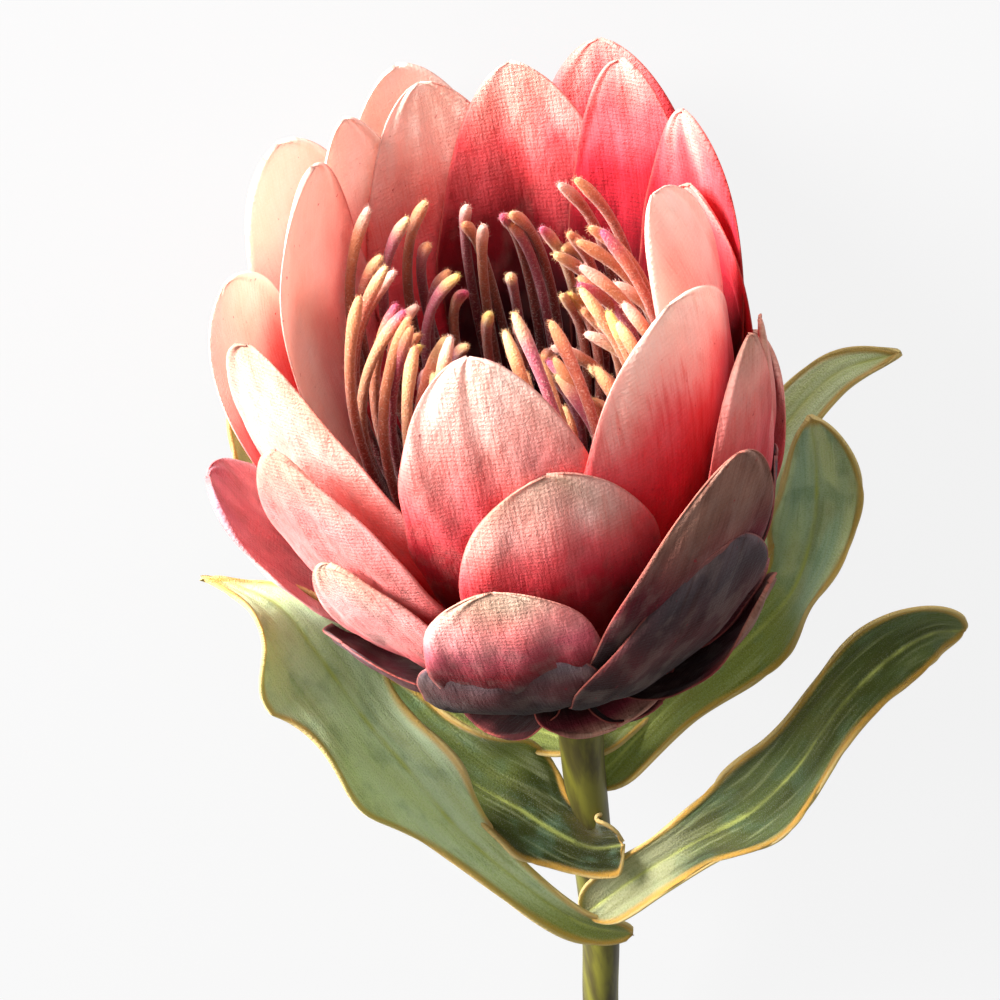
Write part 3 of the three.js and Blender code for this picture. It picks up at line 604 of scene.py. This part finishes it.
def floret_path(ring, number, i, t):
    """Centre line of a floret, which swings out from the dome and back in to its tip:
    (1 - t)^2 root + 2t (1 - t) middle + t^2 tip."""
    seed = 100 * number + i
    place = i + 0.5 * (number % 2) + STRAY["azimuth"] * scatter(seed, 1)
    azimuth = place * 2 * np.pi / ring["count"]
    off = abs((azimuth / DEGREE - BEND_IN["azimuth"] + 540) % 360 - 180) / BEND_IN["reach"]
    room = 1 - BEND_IN["share"] * np.exp(-(off ** 2))
    tip_azimuth = azimuth + STRAY["tip_azimuth"] * scatter(seed, 2)
    tip_radius = (ring["tip"][0] + STRAY["tip_radius"] * scatter(seed, 3)) * room
    tip_height = ring["tip"][1] + STRAY["tip_height"] * scatter(seed, 4)

    def polar(r, a, z):
        """The point at a radius, azimuth and height."""
        return np.array([r * np.sin(a), -r * np.cos(a), z])

    root = polar(ring["root"][0], azimuth, ring["root"][1])
    middle = polar(ring["middle"][0] * (0.5 + 0.5 * room), azimuth, ring["middle"][1])
    tip = polar(tip_radius, tip_azimuth, tip_height)
    t = t[:, None]
    return (1 - t) ** 2 * root + 2 * t * (1 - t) * middle + t ** 2 * tip


def frames(path):
    """Two unit vectors across a centre line at each point: the x axis less its part along the line, and the
    line's direction crossed with that."""
    way = unit(np.gradient(path, axis=0))
    first = unit(np.array([1.0, 0, 0]) - way * way[:, :1])
    return first, np.cross(way, first)


def add_floret(surface, hairs, ring, number, i):
    """A floret: a round finger, a little thicker before its rounded tip, with short hairs on its upper
    part."""
    rng = np.random.default_rng(FLORET_SEED + 100 * number + i)
    s = np.linspace(0, 1, FLORET_GRID["along"] + 1)
    t = 1 - (1 - s) ** 2.2
    path = floret_path(ring, number, i, t)
    first, second = frames(path)
    length = np.linalg.norm(np.diff(path, axis=0), axis=1).sum()
    left = (1 - t) * length
    finger = FLORET_RADIUS * (0.82 + 0.22 * np.exp(-(((left - SWELLING) / SWELLING) ** 2)))
    finger = finger * (0.55 + 0.45 * np.clip(left / NARROWS, 0, 1) ** 0.7)
    finger = finger * rounded(left / ROUND_END) + 0.03
    kind = rng.choice(len(FLORET_TONES), p=FLORET_TONE_ODDS)
    end = rng.choice(len(FLORET_TIPS), p=FLORET_TIP_ODDS)
    share = np.clip(1 - left / TIP_TONE, 0, 1)[:, None]
    # Painted shade: the nearer the root, the more the floret darkens into painted shade deep in the bloom
    deep = np.clip((left - PAINTED_SHADE_SPAN[0]) / (PAINTED_SHADE_SPAN[1] - PAINTED_SHADE_SPAN[0]), 0, 1)[:, None] ** 0.8
    tones = FLORET_TONES[kind] * (1 - share) + FLORET_TIPS[end] * share
    tones = tones * (1 - deep) + FLORET_PAINTED_SHADE * deep
    marks = np.column_stack([share, deep, np.full(len(t), rng.uniform())])
    surface.add_round(path, first, second, finger, FLORET_GRID["around"], marks, tones)
    add_hairs(hairs, path, first, second, finger, tones, rng)


# Hairs of a floret, and the share of its rings that they cover, from the tip down
HAIRS_PER_FLORET = 150
HAIR_LENGTH = 0.75
HAIR_WIDTH = 0.07
HAIRY_SHARE = 0.62


def add_hairs(hairs, path, first, second, radius, tones, rng):
    """Short hairs on a floret's upper part: each is a thin three-sided spike that stands out and leans to the
    tip."""
    count = HAIRS_PER_FLORET
    at = (len(path) - 1) * (1 - rng.uniform(0, 1, count) * HAIRY_SHARE)
    j = np.minimum(at.astype(int), len(path) - 2)
    f = (at - j)[:, None]
    turn = rng.uniform(0, 2 * np.pi, count)

    def pick(values):
        """The centre line's values at each hair."""
        return values[j] * (1 - f) + values[j + 1] * f

    across = unit(np.cos(turn)[:, None] * pick(first) + np.sin(turn)[:, None] * pick(second))
    way = unit(path[j + 1] - path[j])
    root = pick(path) + across * (pick(radius[:, None]) * 0.9)
    lean = rng.uniform(0.2, 1.3, (count, 1))
    out = unit(across + way * lean + rng.normal(0, 0.25, (count, 3)))
    side = unit(np.cross(out, way + rng.normal(0, 0.1, (count, 3))))
    other = np.cross(out, side)
    size = HAIR_LENGTH * rng.uniform(0.5, 1.3, (count, 1))
    corners = [
        root + HAIR_WIDTH / 2 * (np.cos(a) * side + np.sin(a) * other)
        for a in np.array([0, 2, 4]) * np.pi / 3
    ]
    points = np.stack([*corners, root + out * size], 1).reshape(-1, 3)
    base = np.arange(count)[:, None] * 4
    spike = np.array([[0, 1, 3], [1, 2, 3], [2, 0, 3], [0, 2, 1]])
    triangles = (base[:, None] + spike[None]).reshape(-1, 3)
    tone = np.repeat(pick(tones) * 1.05 + 0.015, 4, 0)
    zero = np.zeros((len(points), 3))
    hairs.add(lie_down(points), None, triangles, zero[:, :2], zero, tone)


# Leaves: cells, seed, how far apart two patterns start, and tones
LEAF_GRID = {"across": 40, "along": 120}
LEAF_SEED = 300
LEAF_PATTERN_STEP = 80
LEAF_TEAL = rgb("b4cdb0")
LEAF_OLIVE = rgb("8b9450")
LEAF_DARK = rgb("3e4426")
LEAF_SHADE = rgb("5f6b40")
LEAF_PALE = rgb("dbe6b4")
LEAF_UNDER = rgb("b4b48c")
# Painted light: this tone is partly the leaves' own pale green and partly painted light, as the ground tone
# of leaf_lower_left and leaf_upper_right.
LEAF_PALE_AND_LIT = rgb("e4f2cc")
# Painted shade: leaf_upper_left's near-black tone near the stem.
LEAF_PAINTED_SHADE = rgb("2a2e14")
# Two tones of each leaf, how strongly it is mottled, its tone near the stem and how far that reaches
LEAF_LOOK = {
    "leaf_lower_left": (LEAF_PALE_AND_LIT, LEAF_PALE, 0.28, LEAF_OLIVE, 0.16),
    "leaf_lower_right": (LEAF_DARK, LEAF_SHADE, 0.2, LEAF_UNDER, 0.22),
    "leaf_middle_right": (LEAF_TEAL, LEAF_PALE, 0.4, LEAF_OLIVE, 0.5),
    "leaf_upper_left": (LEAF_SHADE, LEAF_OLIVE, 0.4, LEAF_PAINTED_SHADE, 0.5),
    "leaf_upper_right": (LEAF_PALE_AND_LIT, LEAF_PALE, 0.05, LEAF_OLIVE, 0.2),
    "leaf_behind_left": (LEAF_PALE, LEAF_OLIVE, 0.2, LEAF_OLIVE, 0.3),
}

# A leaf's thickness in blades: on the flat, and what the rib and the bead along the rim add
LEAF_FLAT = 0.7
LEAF_RISE = 0.9
RIB_WIDTH = 1
RIM_BEAD = 0.5  # the bead's distance from the rim, and its width

ROOT_ROUND = 0.06  # share of the length over which the root end rounds off
RIB_SUNK = 0.5  # depth of the hollow along the rib
RIB_HOLLOW = 0.9  # its width to each side

# How uneven a leaf is: its rim, face and patches as waves() takes them
LEAF_RIM_WAVE = {"count": 4, "most": 14, "size": 0.5}
LEAF_FACE_WAVE = {"count": 4, "most": 5, "size": 0.25}
LEAF_PATCHES = {"count": 4, "most": 4, "size": 0.5}


def leaf_middle(leaf, u, v, rng):
    """Middle surface of a leaf: each row is an arc across the rib, which is sunk a little, and the edges rise
    and fall as a sine of the length times the square of the place across."""
    t = v[:, 0]
    rib = along(leaf["rib"], t)
    step = 0.005
    way = unit(along(leaf["rib"], np.minimum(t + step, 1)) - along(leaf["rib"], np.maximum(t - step, 0)))
    face = along(leaf["face"], t)
    face = unit(face - way * (face * way).sum(-1, keepdims=True))
    side = np.cross(way, face)
    tip, ease = leaf.get("tip", LEAF_TIP), leaf.get("ease", 1)
    shape = outline(v, leaf["widest"], leaf["base"], leaf["blunt"], tip, ease)
    bow = leaf["bow"]
    phase = 2 * np.pi * leaf["waves"] * v + np.where(u < 0, leaf.get("shift", WAVE_SHIFT), 0)
    shape = shape * rounded(v / ROOT_ROUND)
    ripple = 1 + leaf["ripple"] * np.cos(phase) * np.sin(np.pi * v)
    slant = 1 + leaf.get("slant", 0) * np.sign(u) * v
    half = np.maximum(0.5 * leaf["width"] * shape * ripple * slant, LEAST_HALF_WIDTH)
    wave = leaf["wave"] * np.sqrt(np.sin(np.pi * np.clip(v, 0, 1))) * np.sin(phase) * u ** 2
    wave = wave + np.abs(u) ** 3 * waves(u, v, rng, **LEAF_RIM_WAVE) * np.sin(np.pi * v)
    wave = wave + waves(u, v, rng, **LEAF_FACE_WAVE) * np.sin(np.pi * v)
    sunk = RIB_SUNK * np.exp(-((u * half / RIB_HOLLOW) ** 2))
    sideways = half * np.sin(u * bow) / bow
    up = half * (1 - np.cos(u * bow)) / bow + wave - sunk
    points = rib[:, None] + sideways[..., None] * side[:, None] + up[..., None] * face[:, None]
    return press_down(points), half


def add_leaf(surface, name, number):
    """A leaf as a closed blade, thicker along its rib and in a bead along its rim."""
    rng = np.random.default_rng(LEAF_SEED + number)
    leaf = LEAVES[name]
    ground, patch, mottle, root_tone, reach = LEAF_LOOK[name]
    s = np.linspace(0, 1, LEAF_GRID["along"] + 1)
    across = np.linspace(-1, 1, LEAF_GRID["across"] + 1)
    u, v = np.meshgrid(
        0.5 * across + 0.5 * np.sin(np.pi / 2 * across),
        0.7 * s + 0.3 * np.sin(np.pi / 2 * s),
    )
    middle, half = leaf_middle(leaf, u, v, rng)
    length = np.linalg.norm(np.diff(middle[:, LEAF_GRID["across"] // 2], axis=0), axis=1).sum()
    margin = np.minimum((1 - np.abs(u)) * half, (1 - v) * length * 0.5)
    across = u * half
    bead = np.exp(-(((margin - RIM_BEAD) / RIM_BEAD) ** 2))
    thickness = BLADE * (LEAF_FLAT + LEAF_RISE * np.exp(-((across / RIB_WIDTH) ** 2)) + LEAF_RISE * bead)
    place = np.stack([across + LEAF_PATTERN_STEP * number, v * length], -1)
    marks = np.stack([margin / MARK_SPAN, np.abs(across) / MARK_SPAN, np.full_like(u, mottle)], -1)
    share = np.clip(0.5 + waves(u, v, rng, **LEAF_PATCHES), 0, 1)[..., None]
    tones = ground * (1 - share) + patch * share
    # Near the stem each leaf blends into its root tone; leaf_upper_left's is painted shade.
    near = 1 / (1 + np.exp((v - reach + 0.03 * u) * 60))[..., None]
    surface.add_blade(middle, thickness, place, marks, tones * (1 - near) + root_tone * near)


# Round bodies
CORE_SIDES = 48
STEM_SIDES = 32
STEM_STEPS = 120


def add_core(surface, profile):
    """A body of revolution about the head's axis, closed at its ends."""
    t = np.linspace(0, 1, 4 * len(profile))
    smooth = along(profile, t)
    path = np.column_stack([np.zeros((len(t), 2)), smooth[:, 1]])
    first = np.tile([1.0, 0, 0], (len(t), 1))
    second = np.tile([0, 1.0, 0], (len(t), 1))
    plain = np.zeros((len(t), 3))
    surface.add_round(path, first, second, np.maximum(smooth[:, 0], 0.05), CORE_SIDES, plain, plain)


def add_stem(surface):
    """The stem: a round body along its bent centre line, with a cut end."""
    t = np.linspace(0, 1, STEM_STEPS) ** 1.2
    path = along(STEM, t)
    radius = along(STEM_RADIUS, t)[:, 0]
    first, second = frames(path)
    plain = np.zeros((len(t), 3))
    surface.add_round(path, first, second, radius, STEM_SIDES, plain, plain)


class Value:
    """A number or colour that changes over a surface: a node's socket, whose arithmetic adds Math nodes."""

    def __init__(self, finish, socket):
        self.finish = finish
        self.socket = socket

    def math(self, operation, *values):
        """The operation on the values, as a Math node."""
        return self.finish.node("Math", {"operation": operation}, dict(enumerate(values)))

    def __add__(self, other):
        return self.math("ADD", self, other)

    def __sub__(self, other):
        return self.math("SUBTRACT", self, other)

    def __rsub__(self, other):
        return self.math("SUBTRACT", other, self)

    def __mul__(self, other):
        return self.math("MULTIPLY", self, other)

    __radd__ = __add__
    __rmul__ = __mul__

    def between(self, low, high):
        """0 below low, 1 above high and smooth between them."""
        inputs = {0: self, 1: low, 2: high, 3: 0.0, 4: 1.0}
        return self.finish.node("MapRange", {"interpolation_type": "SMOOTHSTEP"}, inputs)

    def sine(self):
        """The sine of the value."""
        return self.math("SINE", self)


class Finish:
    """A material that is being made. node() adds any node, and the other methods are the ones used often."""

    def __init__(self, name):
        self.material = bpy.data.materials.new(name)
        self.material.use_nodes = True
        self.tree = self.material.node_tree
        self.tree.nodes.clear()

    def node(self, kind, settings, inputs, output=0):
        """Adds a node of that type with its settings and then the values or links of its sockets."""
        made = self.tree.nodes.new("ShaderNode" + kind)
        for key, value in settings.items():
            setattr(made, key, value)
        for key, value in inputs.items():
            socket = made.inputs[key]
            if isinstance(value, Value):
                self.tree.links.new(value.socket, socket)
            else:
                socket.default_value = value
        return Value(self, made.outputs[output]) if made.outputs else None

    def painted(self, name):
        """What is painted on the mesh under that name, as a colour."""
        return self.node("Attribute", {"attribute_name": name}, {}, "Color")

    def parts(self, colour):
        """The three numbers of a colour."""
        split = self.node("SeparateColor", {}, {0: colour}).socket.node
        return [Value(self, split.outputs[k]) for k in range(3)]

    def place(self, across, lengthwise):
        """The place on the blade, in mm times the two factors."""
        uv = self.node("UVMap", {"uv_map": "place"}, {})
        return self.node("Mapping", {}, {"Vector": uv, "Scale": (across, lengthwise, 1)})

    def noise(self, vector, scale, detail=2.0):
        """Soft noise about 0.5 at a place; the higher the scale, the finer."""
        return self.node("TexNoise", {}, {"Vector": vector, "Scale": scale, "Detail": detail})

    def mixed(self, colour, other, factor, how="MIX"):
        """Colour and other mixed by the factor."""
        inputs = {0: factor, 6: self.whole(colour), 7: self.whole(other)}
        return self.node("Mix", {"data_type": "RGBA", "blend_type": how}, inputs, 2)

    @staticmethod
    def whole(colour):
        """A colour as a socket takes it, with a fourth number."""
        return colour if isinstance(colour, Value) else (*colour, 1)

    def bump(self, height, strength, distance):
        """The normal bent by a height in mm."""
        inputs = {"Height": height, "Strength": strength, "Distance": distance * MM}
        return self.node("Bump", {}, inputs, "Normal")

    def skin(self, colour, roughness, normal, sheen, specular):
        """A Principled surface."""
        return self.node("BsdfPrincipled", {}, {
            "Base Color": colour, "Roughness": roughness, "Normal": normal,
            "Sheen Weight": sheen, "Sheen Roughness": 0.4, "Specular IOR Level": specular,
        })

    def leafy(self, colour, roughness, normal, sheen, glow, glow_pale, pale, through):
        """Matte, downy and thin: a Principled surface mixed with two Translucent ones, which let light
        through in a deep and a pale tone."""
        skin = self.skin(colour, roughness, normal, sheen, 0.12)
        deep = self.node("BsdfTranslucent", {}, {"Color": (*glow, 1)})
        light = self.node("BsdfTranslucent", {}, {"Color": (*glow_pale, 1)})
        lit = self.node("MixShader", {}, {0: pale, 1: deep, 2: light})
        whole = self.node("MixShader", {}, {0: through, 1: skin, 2: lit})
        self.node("OutputMaterial", {}, {"Surface": whole})
        return self.material

    def plain(self, colour, roughness, normal, sheen, specular=0.3):
        """A Principled surface alone."""
        self.node("OutputMaterial", {}, {"Surface": self.skin(colour, roughness, normal, sheen, specular)})
        return self.material


# The weave's spacing across and along a bract, and how far its rows wander in radians
THREADS_ACROSS = 0.8
THREADS_ALONG = 0.95
THREAD_WANDER = 5


def bract_finish(name, through):
    """Downy bract: its painted tones, deepened and paled in soft stains, with brown streaks, dusty patches,
    red flecks, a thin russet edge and a fine weave in rows."""
    made = Finish(name)
    margin, streak, dust = made.parts(made.painted("marks"))
    tone = made.painted("tones")
    spot = made.place(1, 1)
    stain = made.noise(made.place(1, 0.5), 0.1, 4)
    colour = made.mixed(tone, tone, stain.between(0.42, 0.7) * 0.45, "MULTIPLY")
    colour = made.mixed(colour, colour, (1 - stain).between(0.5, 0.75) * 0.5, "SCREEN")
    lines = made.noise(made.place(1.0, 0.07), 0.7, 4)
    brown = lines.between(0.5, 0.66) * streak * made.noise(spot, 0.06, 3).between(0.42, 0.6)
    colour = made.mixed(colour, colour, brown * 0.7, "MULTIPLY")
    colour = made.mixed(colour, rgb("8a5040"), brown * 0.15)
    fine = made.noise(made.place(2.5, 0.2), 1.0, 3)
    colour = made.mixed(colour, colour, fine.between(0.45, 0.75) * 0.28, "MULTIPLY")
    patch = made.noise(made.place(1, 0.6), 0.2, 5).between(0.47, 0.62) * dust
    colour = made.mixed(colour, rgb("927a70"), patch * 0.6)
    speck = made.noise(spot, 1.6, 3).between(0.58, 0.72) * dust
    colour = made.mixed(colour, rgb("6a5a52"), speck * 0.5)
    fleck = made.noise(made.place(1.4, 0.9), 0.55, 2).between(0.7, 0.76)
    colour = made.mixed(colour, rgb("8f1626"), fleck * 0.6)
    edge = 1 - (margin * MARK_SPAN + (fine - 0.5) * 0.5).between(0.05, 0.4)
    colour = made.mixed(colour, rgb("b0584c"), edge * 0.45)
    across, lengthwise, _ = made.parts(spot)
    wander = made.noise(spot, 0.3, 2) * THREAD_WANDER
    weft = (lengthwise * (2 * np.pi / THREADS_ALONG) + wander).sine()
    warp = (across * (2 * np.pi / THREADS_ACROSS) + wander).sine()
    rows = weft * 0.6 + warp * 0.4
    nap = made.noise(spot, 3.2, 4)
    colour = made.mixed(colour, colour, rows.between(0.2, 1.0) * 0.16 + (nap - 0.4) * 0.7, "SCREEN")
    height = rows * 0.04 + nap * 0.24 + lines * 0.3 + made.noise(made.place(1, 0.5), 0.35, 3) * 0.9
    normal = made.bump(height, 0.9, 1.0)
    _, green, _ = made.parts(colour)
    pale = green.between(0.1, 0.6)
    return made.leafy(colour, 0.9, normal, 0.05, rgb("ec4048"), rgb("ffd2ca"), pale, through)


def floret_finish():
    """Velvety floret: its painted tones, which darken into painted shade towards the root, with brown patches
    and a fine pale nap.
    """
    made = Finish("floret_velvet")
    tone = made.painted("tones")
    place = made.node("TexCoord", {}, {}, "Object")
    nap = made.noise(place, 2600, 3)
    patch = made.noise(place, 350, 2)
    colour = made.mixed(tone, rgb("7a3a2c"), patch.between(0.45, 0.75) * 0.3)
    colour = made.mixed(colour, rgb("fff0dc"), nap.between(0.5, 0.8) * 0.22)
    return made.plain(colour, 0.9, made.bump(nap, 0.9, 0.35), 0.25)


def leaf_finish():
    """Leaf: its painted tones with ochre and teal clouds, fine lengthwise lines, a fine grain, pale hairs, a
    soft yellow rib and ochre margins."""
    made = Finish("leaf_matte")
    margin, rib, mottle = made.parts(made.painted("marks"))
    tone = made.painted("tones")
    spot = made.place(1, 1)
    cloud = made.noise(made.place(1, 0.4), 0.11, 4)
    colour = made.mixed(tone, rgb("85743c"), cloud.between(0.5, 0.72) * mottle)
    other = made.noise(made.place(1, 0.5), 0.21, 3)
    colour = made.mixed(colour, rgb("6c9078"), other.between(0.48, 0.7) * mottle * 1.3)
    lines = made.noise(made.place(1.4, 0.06), 0.8, 3)
    colour = made.mixed(colour, colour, lines.between(0.5, 0.7) * 0.3, "MULTIPLY")
    colour = made.mixed(colour, rgb("cdd29c"), (1 - lines).between(0.5, 0.72) * 0.3)
    grain = made.noise(spot, 2.4, 5)
    colour = made.mixed(colour, colour, grain.between(0.42, 0.68) * 0.5, "MULTIPLY")
    hair = made.noise(spot, 4.5, 2).between(0.6, 0.68)
    colour = made.mixed(colour, rgb("e9eed8"), hair * 0.28)
    line = 1 - (rib * MARK_SPAN + (grain - 0.5)).between(0.0, 1.0)
    colour = made.mixed(colour, rgb("c9d070"), line * (0.35 + 0.5 * other.between(0.4, 0.6)))
    edge = 1 - (margin * MARK_SPAN + (cloud - 0.5) * 1.5 + (grain - 0.5) * 0.6).between(0.6, 1.8)
    colour = made.mixed(colour, rgb("d39c44"), edge * 0.85)
    rim = 1 - (margin * MARK_SPAN).between(0.0, 0.5)
    colour = made.mixed(colour, rgb("ead79c"), rim * 0.5)
    height = grain * 0.5 + lines * 0.5 - line * 0.2 + hair * 0.15
    normal = made.bump(height, 0.9, 1.0)
    return made.leafy(colour, 0.8, normal, 0.25, rgb("9cb040"), rgb("d8e070"), 0.4, 0.3)


def stem_finish():
    """Smooth stem: olive with dark brown streaks along it."""
    made = Finish("stem_smooth")
    place = made.node("TexCoord", {}, {}, "Object")
    streaks = made.noise(made.node("Mapping", {}, {"Vector": place, "Scale": (260, 30, 260)}), 1.0, 4)
    colour = made.mixed(rgb("66631e"), rgb("342c14"), streaks.between(0.38, 0.62) * 0.85)
    return made.plain(colour, 0.5, made.bump(streaks, 0.4, 0.4), 0.05, 0.25)


def core_finish():
    """Dark velvety core, which shows between the roots of the bracts and florets."""
    made = Finish("core_velvet")
    place = made.node("TexCoord", {}, {}, "Object")
    nap = made.noise(place, 1500, 3)
    colour = made.mixed(rgb("2a0c0e"), rgb("5a2a22"), nap.between(0.4, 0.7))
    return made.plain(colour, 0.95, made.bump(nap, 0.9, 0.5), 0.3)


inner_finish = bract_finish("bract_inner_downy", 0.3)
outer_finish = bract_finish("bract_outer_downy", 0.05)
leaf_material = leaf_finish()
floret_material = floret_finish()
stem_material = stem_finish()
core_material = core_finish()


def make_bracts(name, rows, material):
    """One piece with all the bracts of these rows."""
    surface = Surface()
    for number, bract in enumerate(BRACTS):
        if bract[0] in rows:
            add_bract(surface, bract, number)
    made = surface.piece(name, material)
    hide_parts(name.replace("_surface", ""))


make_bracts("inner_bracts_surface", (1, 2), inner_finish)
make_bracts("outer_bracts_surface", (3, 4, 5, 6), outer_finish)

core = Surface()
add_core(core, CUP)
cup = core.piece("head_cup", core_material)

dome_surface = Surface()
add_core(dome_surface, DOME)
dome = dome_surface.piece("head_dome", core_material)

floret_surface = Surface()
hair_surface = Surface()
for number, ring in enumerate(RINGS):
    for i in range(ring["count"]):
        add_floret(floret_surface, hair_surface, ring, number, i)
floret_piece = floret_surface.piece("florets_surface", floret_material)
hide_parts("florets")
hair_piece = hair_surface.piece("floret_hairs", floret_material)

for number, name in enumerate(LEAVES):
    leaf_surface = Surface()
    add_leaf(leaf_surface, name, number)
    leaf_piece = leaf_surface.piece(name + "_surface", leaf_material)
    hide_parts(name)

stem_surface = Surface()
add_stem(stem_surface)
stem_piece = stem_surface.piece("stem_surface", stem_material)
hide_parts("stem")


# Camera: on the upright flower it looks at a point on the head's axis from 40 degrees above the horizon, and
# is rolled so that the head leans to the left. AIM_OFF: how far that point is right of and above the middle.
CAMERA = {"height": 40 * DEGREE, "roll": 11 * DEGREE, "lens": 100, "distance": 534, "aim": (0, 0, 60)}
AIM_OFF = (6.54, 6.73)


def towards(upright):
    """A direction of the upright flower, laid down."""
    return lie_down(upright) - lie_down((0, 0, 0))


def make_camera():
    """The camera at the photograph's angle."""
    low, high = np.cos(CAMERA["height"]), np.sin(CAMERA["height"])
    back = towards((0, -low, high))
    right, up = towards((1, 0, 0)), towards((0, high, low))
    c, s = np.cos(CAMERA["roll"]), np.sin(CAMERA["roll"])
    right, up = right * c - up * s, right * s + up * c
    at = lie_down(CAMERA["aim"]) + CAMERA["distance"] * back - AIM_OFF[0] * right - AIM_OFF[1] * up
    data = bpy.data.cameras.new("camera")
    data.lens = CAMERA["lens"]
    camera = bpy.data.objects.new("camera", data)
    turn_and_place = np.column_stack([right, up, back, at * MM])
    camera.matrix_world = Matrix([*turn_and_place.tolist(), [0, 0, 0, 1]])
    bpy.context.scene.collection.objects.link(camera)
    bpy.context.scene.camera = camera
    return right, up, back


picture_right, picture_up, picture_back = make_camera()


def make_light(name, from_right, from_up, from_back, distance, size, power, colour=(1, 1, 1)):
    """A soft square light, placed by how far it is to the right, up and towards the camera in the picture."""
    centre = lie_down(CAMERA["aim"]) * MM
    way = unit(from_right * picture_right + from_up * picture_up + from_back * picture_back)
    data = bpy.data.lights.new(name, "AREA")
    data.shape = "SQUARE"
    data.size = size
    data.energy = power
    data.color = colour
    light = bpy.data.objects.new(name, data)
    light.location = Vector(centre + way * distance)
    light.rotation_mode = "QUATERNION"
    light.rotation_quaternion = Vector(way).to_track_quat("Z", "Y")
    bpy.context.scene.collection.objects.link(light)


# Name, way to the right, up and towards the camera, distance, size, power and colour
make_light("key_left", -0.86, 0.34, 0.58, 1.3, 0.7, 104, (1.0, 0.98, 0.96))
make_light("fill_front", 0.1, 0.1, 1.0, 1.8, 1.6, 7)
make_light("back_top", 0.1, 1.0, 0.5, 1.4, 0.8, 14)

# Light from all round, and the floor's reach, own colour and glow
WORLD_LIGHT = 0.38
FLOOR_REACH = 4.0
FLOOR_COLOUR = (0.035, 0.035, 0.036, 1)
FLOOR_GLOW = 0.865

world = bpy.data.worlds.new("studio")
world.use_nodes = True
world.node_tree.nodes["Background"].inputs["Color"].default_value = (1, 1, 1, 1)
world.node_tree.nodes["Background"].inputs["Strength"].default_value = WORLD_LIGHT
bpy.context.scene.world = world
bpy.context.scene.view_settings.view_transform = "Standard"


def make_floor():
    """A flat matte floor that glows, so that it shows pale."""
    mesh = bpy.data.meshes.new("floor")
    far = FLOOR_REACH
    corners = [(-far, -far, 0), (far, -far, 0), (far, far, 0), (-far, far, 0)]
    mesh.from_pydata(corners, [], [(0, 1, 2, 3)])
    made = Finish("floor_pale")
    skin = made.node("BsdfPrincipled", {}, {
        "Base Color": FLOOR_COLOUR, "Roughness": 0.9, "Specular IOR Level": 0.1,
        "Emission Color": (1, 1, 1, 1), "Emission Strength": FLOOR_GLOW,
    })
    made.node("OutputMaterial", {}, {"Surface": skin})
    mesh.materials.append(made.material)
    floor = bpy.data.objects.new("floor", mesh)
    bpy.context.scene.collection.objects.link(floor)


make_floor()
